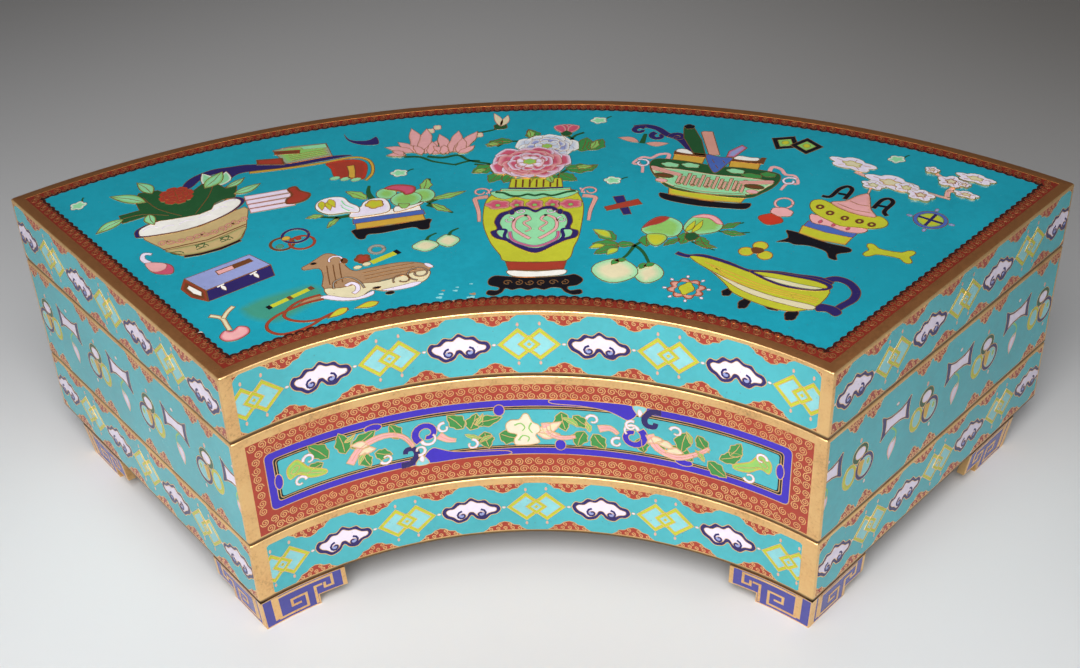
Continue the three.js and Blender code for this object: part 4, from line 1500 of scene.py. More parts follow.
def draw_ewer(pen):
    """A long-spouted yellow ewer with an indigo rim and handle, on short dark feet."""
    for x, y, wide, tall in (
            (-10, -10.6, 2.6, 5), (-2.4, -14.4, 2.8, 7), (14, -14, 3.2, 7.4), (7, -13.2, 3.6, 2)):
        pen.cell("black", lobed(1.4 * wide, tall, 5, 0.1, x, y), 1)
    pen.strip("indigo", [
        (17, 9.6), (20, 12.6), (24.4, 12.2), (28.4, 8.4), (29.2, 3.4), (27.4, -1.4),
        (26, -5)], (3.6, 3.0), 1)
    pen.blob("indigo", [
        (18.6, -5), (21.4, -3.4), (26, -3.6), (28.6, -6), (27, -9), (23.6, -7.6), (20.6, -8.6)], 2)
    pen.strip("indigo", [
        (-35.4, 5), (-31, 4.6), (-26, 7), (-17, 6.4), (-8.4, 4.6), (0, 7.6), (8, 9), (15, 10.4), (20, 9)],
        2.2, 2, steps=4)
    pen.blob("lemon", [
        (-30.4, 5), (-25, 6.4), (-17, 5.8), (-8, 4.2), (2, 2.6), (12, 2), (20.2, 5.6), (20.8, -2),
        (18.6, -8), (14, -12), (8, -13.2), (0, -12.4), (-8, -10.2), (-13, -6), (-20, -1), (-27, 2.2)], 3)
    pen.blob("mint", [
        (-21, -0.2), (-13, -2.8), (-4, -5), (6, -6.2), (18.8, -5.8), (18.2, -9), (8, -9.4), (-2, -8.6),
        (-10, -6)], 4, steps=4, wire=0.3, fade=("cream", 0.9))
    for shift in (0, 2.6, 5):
        pen.stroke([
            (-24 + shift, 3.4 - 0.4 * shift), (-12, 0.8 - shift * 0.75), (0, -1.8 - 0.5 * shift),
            (19, -1.6 - 0.5 * shift)], 0.5, 5, "gold", steps=5)
    rim = smooth([
        (-8.4, 4.8), (-2, 7.4), (6, 8.8), (14, 9.8), (20, 8.4), (20.4, 5.4), (17, 2.8), (11, 0.9), (4, 0.4),
        (-3.4, 2.2)], 4)
    pen.cell("indigo", rim, 6)
    pen.blob("lemon", [
        (-6.6, 4.8), (-1, 6.6), (7, 7.6), (14, 8.2), (18.6, 7.2), (18.8, 5.2), (13, 3.6), (4, 3.6),
        (-3, 3.6)], 7, steps=4)
    pen.blob("mint", [
        (-3, 3.2), (4, 4.2), (11, 4.4), (18, 5), (15.6, 3), (10.6, 1.9), (4, 1.6)], 8, steps=4, wire=0.22,
        fade=("cream", 0.8))


def draw_censer(pen):
    """A censer with a pink cone for a lid, a broad yellow plate and two black handles."""
    for path in (
            [(-14, 9.6), (-11, 10.6), (-10.2, 17), (-8.2, 20.4), (-5.8, 18.6), (-5.8, 11)],
            [(12, 6.8), (10, 9.6), (10.6, 16.6), (8.6, 18.8), (6.4, 16.6), (5.8, 9.6)]):
        pen.strip("black", path, 1.9, 1, wire=FINE)
    for x, y in ((-9.4, 14), (6.6, 12.4)):
        pen.line([(x, y), (x + 3.4, y + 0.4)], 1.4, 2, "black")
    pen.blob("black", [
        (-16, -18.4), (-8, -18.4), (0, -19.8), (8, -19.4), (9.6, -22), (6, -25.4), (7.4, -29), (4.2, -29),
        (1.6, -25.6), (-4.6, -24.8), (-9.4, -26.4), (-12, -26), (-16, -27.6), (-13.4, -23)], 1)
    pen.cell("gold", [
        (-12.2, -13), (6.8, -12.4), (6.4, -18.6), (-3, -19.8), (-11.4, -18.6)], 2, fade=("lemon", 1.2))
    pen.cell("azure", [(-11.6, -9), (7.4, -8.6), (6.8, -13), (-3, -14), (-11.8, -13.2)], 3)
    pen.blob("pink", [
        (-12.4, -4), (-2, -5.4), (9, -5), (8.4, -8.6), (3, -10.4), (-4, -9.6), (-10, -9.8)], 4)
    for x in (-7.4, -2.4, 3):
        with pen.at(x, -9.4):
            pen.cell("rose", leaf(3.2, 1.6), 5, wire=FINE)
    pen.blob("lemon", [
        (-15.8, 4.4), (-12.8, 7), (-7.6, 5.6), (-1, 3), (5, 3.2), (10, 5.4), (14, 2.8), (14.2, -1),
        (10.4, -4.4), (5, -6), (0, -7.6), (-5, -6), (-10.6, -4), (-14.6, -0.4)], 6)
    for x, y in ((-11.4, 1.6), (-6.6, -0.8), (-0.6, -1.8), (4.8, -1.4), (9.4, -1.6)):
        pen.cell("brown", ellipse(3.2, 3.6, x, y, 12), 7, wire=FINE)
        pen.cell("lemon", ellipse(1.5, 1.7, x, y, 8), 8, wire=FINE)
    pen.blob("salmon", [
        (0.6, 18.6), (-2.6, 15.4), (-5, 10), (-9.4, 6.4), (-4, 3.4), (4, 2.4), (9.2, 4), (5.6, 8.4),
        (3, 14.4)], 9, fade=("pink", 2.4))
    for path in ([(-6.6, 6.6), (0, 5), (6, 5.8)], [(-3.4, 10.4), (0.4, 9.4), (3.8, 10)]):
        pen.line(path, 0.35, 10)


def draw_blossom(pen, wide, tall, heart, level):
    """A broad white blossom of five lobes."""
    pen.cell("white", lobed(wide, tall, 5, 0.2, phase=15), level, wire=FINE, fade=("lilac", 0.7))
    for k in range(5):
        a = math.radians(72 * k + 15)
        out = (0.4 * wide * math.cos(a), 0.4 * tall * math.sin(a))
        pen.line([(0.6 * out[0], 0.6 * out[1]), out], 0.25, level + 1)
    pen.cell(heart, lobed(0.42 * wide, 0.46 * tall, 5, 0.2), level + 1.4, wire=FINE, fade=("cream", 0.5))


def draw_blossom_branch(pen):
    """A leafless branch of white blossom."""
    for level, (path, width) in enumerate((
            ([(-17, -6.6), (-10, -8.4), (0, -9), (10, -8.8), (21, -9.2)], 2.2),
            ([(19.4, -8.4), (18.4, -4), (19, 0), (16, 4)], 2.4), ([(18, -4), (22, -3.4)], 1.4),
            ([(6, 7.6), (11, 5.6), (15, 3)], 2.2), ([(-7.4, -13), (-6.8, -17), (-6.2, -20.6)], 1.2))):
        pen.strip("cream", path, (width, width * 0.7), 1 + level, steps=4, wire=0.22, fade=("pink", 0.4))
    for k, (x, y, wide, tall, heart) in enumerate((
            (-20, -2, 18, 9, "lemon"), (-2, -8.6, 20, 10, "gold"), (-7, -13.4, 9, 6, "lime"),
            (4.4, -9.6, 9, 7, "lemon"), (24, 9, 14.6, 6.6, "lemon"), (25, -4, 9.4, 4.6, "gold"),
            (17, 2.4, 10, 8, "red"), (22, 2.6, 5, 4, "pink"), (11, -12.6, 10, 7.4, "red"),
            (8, 7.2, 5.6, 4.6, "pink"))):
        with pen.at(x, y):
            draw_blossom(pen, wide, tall, heart, 8 + 2 * k)


def draw_lozenge_charm(pen):
    """Two dark linked lozenges with yellow hearts."""
    for x, turn in ((-4.4, -18), (4, 12)):
        with pen.at(x, 0, turn, raised=0 if x < 0 else 3):
            pen.cell("black", diamond(13, 13.6), 1)
            pen.cell("lime", diamond(7.6, 8), 2, wire=0.24)
            pen.cell("lemon", ellipse(3, 3.4, n=10), 3, wire=FINE)


def draw_crossed_bars(pen):
    """A red and a blue bar across each other."""
    for name, turn, level in (("indigo", 22, 1), ("red", -60, 2)):
        with pen.at(0, 0, turn):
            pen.cell(name, [(-1.6, -7), (1.6, -7), (2.2, 7), (-2.2, 7)], level)


def draw_gourd(pen):
    """A pink and red gourd on a looped cord."""
    pen.cell("pink", band(ellipse(6.4, 7.6, -0.6, 7.6, 18, 0, 359), 1.2), 1, wire=FINE)
    pen.cell("coral", lobed(9, 8, 4, 0.1, -1.6, -5, 45), 2)
    pen.cell("pink", lobed(8.6, 6.8, 6, 0.06, 0.6, 1.2), 3)


def draw_bone(pen):
    """A small yellow bone with split ends."""
    quarter = [(0, 1.9), (3.8, 2.2), (5.4, 3.8), (7.2, 4.6), (8.6, 3.6), (8.2, 1.6)]
    right = quarter + [(7.2, 0)] + [(x, -y) for x, y in quarter[::-1]]
    pen.blob("lemon", right[:-1] + [(-x, y) for x, y in right[::-1]][:-1], 1, steps=2)


def draw_wheel(pen):
    """A blue-rimmed wheel with four yellow-green quarters."""
    pen.cell("azure", ellipse(12.6, 12.6), 1)
    pen.cell("lime", ellipse(9.6, 9.6), 2, wire=0.3, fade=("lemon", 1.2))
    for turn, level in ((0, 3), (90, 3.4)):
        with pen.at(0, 0, turn):
            pen.line([(0, -4.6), (0, 4.6)], 1.2, level, "indigo")
    for k in range(4):
        with pen.at(0, 0, 90 * k + 8):
            pen.cell("violet", ellipse(1.6, 2.6, 0, 7.6, 8), 1, wire=FINE)


def draw_trefoil(pen):
    """Three yellow rounds with brown hearts."""
    for x, y in ((0, 3.4), (-3.4, -2), (3.4, -2)):
        pen.cell("gold", ellipse(5.8, 6.2, x, y, 14), 1 + 0.1 * x, fade=("lemon", 0.9))
    pen.cell("brown", lobed(4.6, 4.4, 3, phase=30), 3, wire=FINE)


def draw_rosette(pen):
    """A red lobed rosette with white beads around it."""
    pen.cell("red", lobed(12.4, 12, 8, 0.16), 1, fade=("salmon", 0.7))
    pen.cell("turquoise", lobed(8.4, 8.4, 4, 0.2), 2, wire=0.3)
    pen.cell("lemon", lobed(5.2, 7.6, 4, 0.2, phase=45), 3, wire=0.3)
    for k in range(8):
        with pen.at(0, 0, 45 * k + 12):
            pen.cell("lilac", ellipse(1.4, 1.8, 0, 7.4, 8), 1, wire=FINE)


def draw_horn(pen):
    """A dark blue horn."""
    pen.blob("indigo", [
        (-6.4, 7.6), (-5, 2.6), (-2, 0.2), (2.6, -0.4), (5.8, 1.6), (6, -4.6), (2.6, -4.8), (-2, -2.8),
        (-5.6, 1.6)], 1, steps=4)


class FANBOX_OT_vase(bpy.types.Operator):
    """Inlay the vase and its peonies in the middle of the lid"""
    bl_idname = "fanbox.vase"
    bl_label = "Vase of peonies"

    def execute(self, context):
        place_motif("picture_peonies", 2, 256, draw_peonies)
        place_motif("picture_vase", 0, 190, draw_vase)
        return {"FINISHED"}


class FANBOX_OT_basin(bpy.types.Operator):
    """Inlay the basin with a red flower at the left of the lid"""
    bl_idname = "fanbox.basin"
    bl_label = "Basin of flowers"

    def execute(self, context):
        place_motif("picture_basin", -130, 212, draw_basin)
        return {"FINISHED"}


class FANBOX_OT_scholar_things(bpy.types.Operator):
    """Inlay the books, the sceptre, the scrolls and the case of books"""
    bl_idname = "fanbox.scholar_things"
    bl_label = "Books, sceptre and scrolls"

    def execute(self, context):
        place_motif("picture_books_and_sceptre", -98, 245, draw_books_and_sceptre)
        place_motif("picture_book_case", -108, 177, draw_book_case)
        return {"FINISHED"}


class FANBOX_OT_flower_tray(bpy.types.Operator):
    """Inlay the tray of lilies and fruit, and the persimmons beside it"""
    bl_idname = "fanbox.flower_tray"
    bl_label = "Tray of lilies and fruit"

    def execute(self, context):
        place_motif("picture_flower_tray", -55, 212, draw_flower_tray)
        place_motif("picture_persimmons", -33.5, 188.8, draw_persimmons)
        return {"FINISHED"}


class FANBOX_OT_magnolia(bpy.types.Operator):
    """Inlay the magnolia branch near the lid's outer edge"""
    bl_idname = "fanbox.magnolia"
    bl_label = "Magnolia branch"

    def execute(self, context):
        place_motif("picture_magnolia", -36, 262, draw_magnolia)
        return {"FINISHED"}


class FANBOX_OT_ram(bpy.types.Operator):
    """Inlay the resting ram, the brush, the looped cords and the fungus"""
    bl_idname = "fanbox.ram"
    bl_label = "Ram, cords and fungus"

    def execute(self, context):
        place_motif("picture_cords", -82, 146, draw_cords)
        place_motif("picture_ram", -58, 172, draw_ram)
        return {"FINISHED"}


class FANBOX_OT_cauldron(bpy.types.Operator):
    """Inlay the cauldron full of scrolls at the right of the vase"""
    bl_idname = "fanbox.cauldron"
    bl_label = "Cauldron of scrolls"

    def execute(self, context):
        place_motif("picture_cauldron", 70, 240, draw_cauldron)
        return {"FINISHED"}


class FANBOX_OT_peaches(bpy.types.Operator):
    """Inlay the peaches and persimmons right of the vase's foot"""
    bl_idname = "fanbox.peaches"
    bl_label = "Peaches and persimmons"

    def execute(self, context):
        place_motif("picture_peaches", 46, 188, draw_peaches)
        return {"FINISHED"}


class FANBOX_OT_ewer(bpy.types.Operator):
    """Inlay the long-spouted ewer near the lid's inner edge"""
    bl_idname = "fanbox.ewer"
    bl_label = "Ewer"

    def execute(self, context):
        place_motif("picture_ewer", 80, 160, draw_ewer)
        return {"FINISHED"}


class FANBOX_OT_censer(bpy.types.Operator):
    """Inlay the censer and the branch of white blossom above it"""
    bl_idname = "fanbox.censer"
    bl_label = "Censer and blossom"

    def execute(self, context):
        place_motif("picture_blossom_branch", 138, 233, draw_blossom_branch)
        place_motif("picture_censer", 113, 203, draw_censer)
        return {"FINISHED"}


class FANBOX_OT_charms(bpy.types.Operator):
    """Inlay the small charms and buds that are strewn between the vessels"""
    bl_idname = "fanbox.charms"
    bl_label = "Charms and buds"

    def execute(self, context):
        pen = Inlay()
        for draw, x, y, turn in (
                (draw_rings, -88, 200, 0), (draw_peach_charm, -132, 175.5, 0),
                (draw_lozenge_charm, 100.5, 258, 0), (draw_crossed_bars, 32.5, 213.5, 0),
                (draw_gourd, 88.7, 206, 0), (draw_bone, 123.7, 178, 14), (draw_wheel, 141.7, 200, 0),
                (draw_trefoil, 78.7, 181, 0), (draw_rosette, 53, 157.5, 0), (draw_horn, -70, 267, 0),
                (draw_bud, -171, 218.5, 20), (draw_bud, -52.5, 240, -10), (draw_bud, 24, 281, 10),
                (draw_bud, 29, 232, 0), (draw_bud, 137, 245, 30)):
            with pen.at(x, y, turn - math.degrees(math.atan2(x, y))):
                draw(pen)
        pen.piece("picture_charms", lid_surface(FanPlan()), "picture_enamels")
        return {"FINISHED"}


# ---- clouds, lozenges and lappets of the lid and the base tray ----

def draw_cloud(pen):
    """A cloud with a lobed back and two curls below."""
    pen.blob("indigo", [
        (-9.9, 0.4), (-8.6, 2.6), (-6.6, 2.4), (-4.6, 4.3), (-2.2, 3.8), (0, 5.5), (2.4, 4.0), (4.8, 4.0),
        (6.4, 2.2), (8.8, 1.6), (9.9, -0.6), (8.4, -2.6), (6.4, -3.0), (4.4, -4.8), (1.6, -4.2), (0, -2.4),
        (-1.6, -4.4), (-4.6, -5.2), (-6.8, -3.4), (-8.8, -2.2)], 1)
    pen.blob("lilac", [
        (-8.4, 0.3), (-7.4, 1.3), (-5.6, 1.4), (-3.8, 2.9), (-1.8, 2.7), (0, 4.1), (2.0, 2.9), (4.2, 2.6),
        (6.2, 0.9), (8.2, 0.2), (8.0, -1.3), (5.8, -1.9), (3.6, -3.4), (1.8, -2.6), (0.6, -1.0),
        (-0.8, -1.0), (-1.8, -2.8), (-4.2, -3.8), (-6.0, -2.2), (-7.6, -1.2)], 2, wire=0.22)
    for hand in (-1, 1):
        pen.cell("violet", ellipse(2.7, 2.3, hand * 3.1, -2.1, 12), 3, wire=FINE)
        pen.line(spiral(1.9, 1.15, 90, -hand, x=hand * 3.1, y=-1.9, n=12), 0.75, 4, "indigo", 0.5)


def draw_lozenges(pen):
    """Two interlocked lozenges."""
    wide, tall, thick = 14.2, 13.4, 3.4
    for x in (-3.7, 3.7):
        level = 1 if x < 0 else 3
        pen.cell("lemon", diamond(wide, tall, x), level, wire=0.24)
        pen.cell("sky", diamond(wide - thick, tall - thick, x), level + 1, wire=0.24)
    pen.cell("lemon", diamond(8.0, 7.4), 5, wire=0.24)
    pen.cell("sky", diamond(4.6, 4.3), 6, wire=FINE)
    pen.cell("lemon", diamond(1.8, 1.7), 7, wire=0.16)
    for x, y in ((-3.7, 8.0), (3.7, 8.3), (-3.7, -7.9), (3.7, -7.8)):
        pen.cell("pink", ellipse(1.0, 1.7, x, y, 8), 1, wire=FINE)


def draw_lappet(pen, wide=16.0, tall=4.5, curl=None):
    """A red lappet with scalloped slopes that hangs from the line v = 0."""
    half = [
        (0, -tall), (0.13 * wide, -0.86 * tall), (0.2 * wide, -0.62 * tall), (0.34 * wide, -0.52 * tall),
        (0.39 * wide, -0.26 * tall), (0.5 * wide, 0)]
    pen.cell("red", mirrored(half), 1, wire=0.26)
    if curl:
        for x, y in (
                (-0.33, 0.2), (-0.165, 0.25), (0, 0.28), (0.165, 0.25), (0.33, 0.2), (-0.11, 0.62),
                (0.11, 0.62)):
            pen.stamp(curl, x * wide, -y * tall)


def cloud_wall(spots, lappets, bed, pitch=None):
    """A wall with clouds and lozenges in turn between rows of lappets."""
    low, high = bed
    middle = (low + high) / 2
    reach = 12.0
    curl = curl_pattern(*LAPPET_CURL)
    drawings = []
    for draw in (draw_cloud, draw_lozenges, draw_lappet):
        pen = Inlay()
        if draw is draw_lappet:
            draw(pen, curl=curl)
        else:
            with pen.at(0, 0, scale=1.1 if draw is draw_cloud else 1.0):
                draw(pen)
        drawings.append(pen.pattern(draw.__name__, pitch, reach))
    cloud, lozenges, lappet = drawings
    pen = Inlay()
    span = max(abs(u) for u, _ in spots) + reach
    pen.cell("aqua", oblong(2 * span, low, high), 0, wire=0, root=mm("bed") - BED_GAP)
    if pitch:
        pen.slice_every(pitch, span)
    for u, kind in spots:
        pen.stamp(cloud if kind == "cloud" else lozenges, u, middle)
    for u in lappets:
        pen.stamp(lappet, u, high)
        pen.stamp(lappet, u, low, turn=180)
        pen.cell("lilac", ellipse(1.5, 1.1, u, middle, 8), 1, wire=FINE)
    return pen


def build_cloud_walls(tier, lilt):
    """The four cloud walls of one tier. `lilt` moves the side motifs along by a little."""
    plan = FanPlan()
    floor, top = plan.tiers[tier]
    thin, height = mm("thin_rim"), top - floor
    front_bed = (thin, height - (thin if tier == "lid" else mm("mouth_rim")))
    other_bed = (thin, height - thin)
    in_turn = ("lozenges", "cloud")

    spots = [(k * FRONT_PITCH, in_turn[k % 2]) for k in range(-4, 5)]
    lappets = [(k + 0.5) * FRONT_PITCH for k in range(-5, 5)]
    pen = cloud_wall(spots, lappets, front_bed, FRONT_PITCH / 8)
    pen.trim(front_post(tier) - plan.front, plan.front - front_post(tier))
    pen.piece(tier + "_front_enamel", front_surface(plan, floor), "turquoise_enamel")

    spots = [(k * BACK_PITCH, in_turn[k % 2]) for k in range(-10, 11)]
    lappets = [(k + 0.5) * BACK_PITCH for k in range(-10, 10)]
    pen = cloud_wall(spots, lappets, other_bed, BACK_PITCH / 4)
    pen.trim(mm("side_post") - plan.back, plan.back - mm("side_post"))
    pen.piece(tier + "_back_enamel", back_surface(plan, floor), "turquoise_enamel")

    first = SIDE_START + lilt
    spots = [(first + k * SIDE_PITCH, in_turn[(k + 1) % 2]) for k in range(-1, 8)]
    lappets = [first + (k + 0.5) * SIDE_PITCH for k in range(-1, 7)]
    for side in (1, -1):
        pen = cloud_wall(spots, lappets, other_bed)
        pen.trim(mm("side_post"), plan.side - mm("side_post"))
        name = "right" if side > 0 else "left"
        pen.piece(f"{tier}_{name}_enamel", side_surface(plan, floor, side), "turquoise_enamel", side < 0)


class FANBOX_OT_lid_walls(bpy.types.Operator):
    """Fill the beds of the lid's walls with clouds, lozenges and lappets"""
    bl_idname = "fanbox.lid_walls"
    bl_label = "Lid walls"

    def execute(self, context):
        build_cloud_walls("lid", 0.0)
        return {"FINISHED"}


class FANBOX_OT_base_walls(bpy.types.Operator):
    """Fill the beds of the base tray's walls with clouds, lozenges and lappets"""
    bl_idname = "fanbox.base_walls"
    bl_label = "Base tray walls"

    def execute(self, context):
        build_cloud_walls("base_tray", -2.5)
        return {"FINISHED"}


# ---- rings and bone plaques of the middle tray ----

def draw_linked_rings(pen):
    """Three linked jade rings."""
    pen.cell("lemon", ellipse(8.4, 10.4, -6.4, -0.4, 16), 1, wire=0.24)
    pen.cell("sky", ellipse(5.4, 7.2, -6.2, -0.2, 14), 2, wire=FINE)
    pen.cell("pine", ellipse(9.6, 8.2, -0.6, 6.4, 16), 1, wire=0.24)
    pen.cell("lilac", ellipse(6.2, 4.8, -0.6, 6.6, 14), 2, wire=FINE)
    pen.cell("indigo", ellipse(11.2, 11.2, 2.6, -0.8, 20), 3, wire=0.24)
    pen.cell("sky", ellipse(8.2, 8.2, 2.6, -0.8, 18), 4, wire=FINE)
    pen.blob("gold", [
        (-1.4, 1.2), (-0.2, 3.0), (2.4, 2.0), (1.6, 0.2), (0.6, -3.6), (-1.2, -1.8)], 5, wire=FINE)
    pen.cell("lime", ellipse(1.8, 2.8, 4.6, 0.2, 10), 5, wire=FINE)
    pen.cell("pink", ellipse(1.4, 2.0, -1.0, 12.2, 8), 1, wire=FINE)
    pen.cell("lilac", ellipse(1.2, 1.8, 3.6, -8.2, 8), 1, wire=FINE)


def draw_bone_plaque(pen):
    """A plaque with flared ends over a hanging leaf."""
    quarter = [(0, 2.6), (3.4, 2.9), (6.0, 3.7), (8.6, 5.4), (9.3, 5.0), (8.7, 2.4)]
    right = quarter + [(8.5, 0)] + [(x, -y) for x, y in quarter[::-1]]
    pen.cell("indigo", right[:-1] + [(-x, y) for x, y in right[::-1]][:-1], 1, wire=0.26)
    pen.cell("lilac", [
        (-6.4, -3.0), (-3, -2.0), (3, -2.0), (6.4, -3.0), (6.2, 0), (6.4, 3.0), (3, 2.0), (-3, 2.0),
        (-6.4, 3.0), (-6.2, 0)], 2, wire=FINE)
    pen.stroke([(-2, -3), (0.6, -5.5), (1.2, -8), (-0.6, -10)], 0.9, 1, "lime", 0.4)
    with pen.at(1.2, -8.2, 160):
        pen.cell("pink", leaf(9.5, 4.6, 0.9), 1, wire=0.24, fade=("lilac", 0.9))
    pen.cell("lilac", ellipse(1.8, 1.4, 0.2, 6.2, 8), 1, wire=FINE)


def ring_wall(spots, plaques, bed, pitch=None):
    """A wall with rings and plaques in turn."""
    low, high = bed
    reach = 14.0
    curl = curl_pattern(*LAPPET_CURL)
    patterns = []
    for draw in (draw_linked_rings, draw_bone_plaque):
        pen = Inlay()
        draw(pen)
        patterns.append(pen.pattern(draw.__name__, pitch, reach))
    rings, plaque = patterns
    pen = Inlay()
    for x in (-5.2, 5.2):
        with pen.at(x, 0):
            draw_lappet(pen, 11.0, 5.2, curl)
    lappet = pen.pattern("double_lappet", pitch, reach)
    span = max(abs(u) for u in spots + plaques) + reach
    pen = Inlay()
    pen.cell("aqua", oblong(2 * span, low, high), 0, wire=0, root=mm("bed") - BED_GAP)
    if pitch:
        pen.slice_every(pitch, span)
    for u in spots:
        pen.stamp(rings, u, low + 0.44 * (high - low))
        pen.stamp(lappet, u, high)
        pen.stamp(lappet, u, low, turn=180)
    for u in plaques:
        pen.stamp(plaque, u, low + 0.65 * (high - low))
    return pen


class FANBOX_OT_middle_walls(bpy.types.Operator):
    """Fill the beds of the middle tray's sides and back with rings and plaques"""
    bl_idname = "fanbox.middle_walls"
    bl_label = "Middle tray sides and back"

    def execute(self, context):
        plan = FanPlan()
        floor, top = plan.tiers["middle_tray"]
        bed = (mm("thin_rim"), top - floor - mm("thin_rim"))
        post = mm("side_post")
        for side, name in ((1, "right"), (-1, "left")):
            spots = [RING_START + RING_PITCH * k for k in range(4)]
            plaques = [RING_START + RING_PITCH * (k + 0.5) for k in range(-1, 4)]
            pen = ring_wall(spots, plaques, bed)
            pen.trim(post, plan.side - post)
            pen.piece(
                f"middle_tray_{name}_enamel", side_surface(plan, floor, side), "turquoise_enamel", side < 0)
        spots = [RING_PITCH * k for k in range(-5, 6)]
        plaques = [RING_PITCH * (k + 0.5) for k in range(-6, 6)]
        pen = ring_wall(spots, plaques, bed, RING_PITCH / 8)
        pen.trim(post - plan.back, plan.back - post)
        pen.piece("middle_tray_back_enamel", back_surface(plan, floor), "turquoise_enamel")
        return {"FINISHED"}


# ---- scroll panel in front of the middle tray ----

def rounded_oblong(width, height, radius):
    """An oblong round the origin with rounded corners."""
    w, h, across = width / 2 - radius, height / 2 - radius, 2 * radius
    out = []
    for x, y, start in ((w, -h, -90), (w, h, 0), (-w, h, 90), (-w, -h, 180)):
        out += ellipse(across, across, x, y, 4, start, start + 90)
    return out


def draw_scroll_panel(pen, middle):
    """The long cobalt scroll frame and the flowers in it, round its own middle."""
    with pen.at(-1.0, middle):
        pen.cell("cobalt", rounded_oblong(187.5, 24.6, 2.2), 1)
        pen.cell("black", rounded_oblong(181.5, 18.6, 1.4), 2, wire=0.3)
        pen.cell("black", rounded_oblong(179.6, 16.8, 1.2), 3, wire=0.3)
        pen.cell("aqua", rounded_oblong(178.0, 15.4, 1.0), 4, wire=0)
        for turn in (0, 180):
            with pen.at(0, 0, turn):
                draw_frame_scrolls(pen)


def draw_frame_scrolls(pen):
    """Half of the frame's brackets: the thick scroll by which the frame is broken, and its bosses."""
    pen.blob("cobalt", [
        (-37.5, -12.2), (-37.6, -8.4), (-34.6, -5.4), (-31.4, -6.6), (-27, -8.4), (-18, -9.6), (-8, -10.2),
        (-8, -12.2), (-22, -12.3)], 5)
    pen.blob("sky", [(-41.2, -12.2), (-38.4, -8.0), (-35.8, -12.2)], 6)
    pen.blob("lilac", [(-39.6, -9.6), (-38.4, -7.6), (-37.6, -9.8), (-38.4, -11.2)], 7, wire=FINE)
    path = smooth([
        (-46, -11.0), (-42.5, -10.6), (-40.2, -7.4), (-41.0, -4.6), (-43.6, -4.4), (-44.2, -6.2)], 4, False)
    pen.cell("indigo", band(path, 2.6, 1.8), 6)
    curl = spiral(4.4, 0.95, 235, -1, 0.42, 16, -36.2, 1.4)
    pen.cell("cobalt", band(curl, 3.2, 2.2), 6)
    pen.cell("lilac", band(spiral(2.6, 0.6, 190, 1, 0.9, 9, -35.6, -1.2), 1.5, 0.8), 7, wire=FINE)
    pen.cell("cobalt", ellipse(6.8, 3.6, -54.5, 8.3, 14), 5)
    pen.cell("cobalt", ellipse(4.2, 5.2, -10.5, 7.8, 14), 5)
    pen.cell("cobalt", ellipse(3.4, 7.0, -89.6, -1.0, 12), 5)


def draw_panel_flowers(pen, middle):
    """The lilies, leaves, scrolls and tendrils round the white flower of the panel."""
    with pen.at(0, middle):
        for sign, u, v in ((1, -82, 0), (-1, 80, 0)):
            with pen.at(u, v, mirror=sign < 0):
                draw_day_lily(pen)
        draw_leaf_spray(pen, [
            (-72, 1, 40, 11, 6), (-66, 0.5, 10, 10, 6), (-64, 2, -60, 11, 6), (-74, 0, 110, 8, 4.5),
            (-47, 1, 20, 8, 5), (-60, -1.5, 200, 7, 5), (-56, -2.5, 250, 7, 5), (-24, 1, 40, 9, 6),
            (-22, 0, -20, 8, 6), (-21, 3, -80, 11, 5), (-17, -1, 190, 8, 6), (-12, -2.5, 250, 8, 6.5),
            (10, 7, 190, 9, 6), (14, 5.5, 230, 8, 5), (18, -1, 160, 8, 6), (21, -2, 215, 8, 6),
            (38, -1, 190, 7, 5.5), (42, -2, 240, 6, 4.5), (54, 5, 170, 10, 6), (58, 5, 215, 8, 5),
            (62, -5, 235, 9, 6), (57, -7, 60, 10, 5), (66, -3, 300, 10, 5), (70, 0, 330, 8, 5)])
        draw_leaf_spray(pen, [
            (-66, 5.5, 300, 5, 2), (-20, 2, 330, 6, 2), (-24, -1.5, 250, 7, 2), (-14, -3, 120, 6, 2),
            (16, 1, 60, 7, 2.4), (20, -1.5, 20, 5, 2.2), (56, 0, 20, 6, 2.2), (61, -6, 40, 6, 2.2),
            (-59, -1, 150, 6, 2)], "lime", 7)
        for path in (
                [(-65, -4.5), (-60, 1.6), (-52, 3.9), (-45.5, 1.8), (-42, -3.6)],
                [(41, 1), (44, -4.6), (51, -6.9), (58, -3.4), (62.5, 0.6)],
                [(4.5, 2), (5.5, -2.4), (10, -4.6), (15, -3.8)], [(-33, -0.4), (-30, -2.8), (-27, -3.6)],
                [(23, 0.4), (27, 1.2), (30, -1)]):
            route = smooth(path, 4, False)
            pen.cell("pink", band(route, 3.4, 1.6), 7)
            pen.line(route[1:-1], 0.4, 7.3, "salmon")
        for u, v, turn in (
                (-55, -0.6, 100), (-57.5, 0.8, 70), (46.5, -0.6, 110), (50, -3.4, 80), (53.5, -4.4, 100)):
            with pen.at(u, v, turn):
                pen.cell("pink", leaf(7.2, 3.4, 0.8), 7.6, fade=("cream", 0.9))
        for u, v, start, hand in (
                (-79, 3.6, 190, -1), (-83, -4.4, 0, 1), (-52, -6.2, 200, 1), (-31, 2.6, 80, 1),
                (-21.5, -6.2, 90, -1), (21, 4.2, 180, -1), (29.5, -4.8, 60, 1), (50.5, 4.2, 170, -1),
                (81.5, 3.2, 0, 1), (77.5, -6.4, 200, 1), (-40, -5.6, 250, 1), (34.5, 3.4, 60, 1)):
            pen.cell("lilac", band(spiral(2.3, 0.85, start, hand, 0.45, 10, u, v), 1.3, 0.8), 8, wire=FINE)
        with pen.at(-2.2, -0.6):
            draw_white_flower(pen)


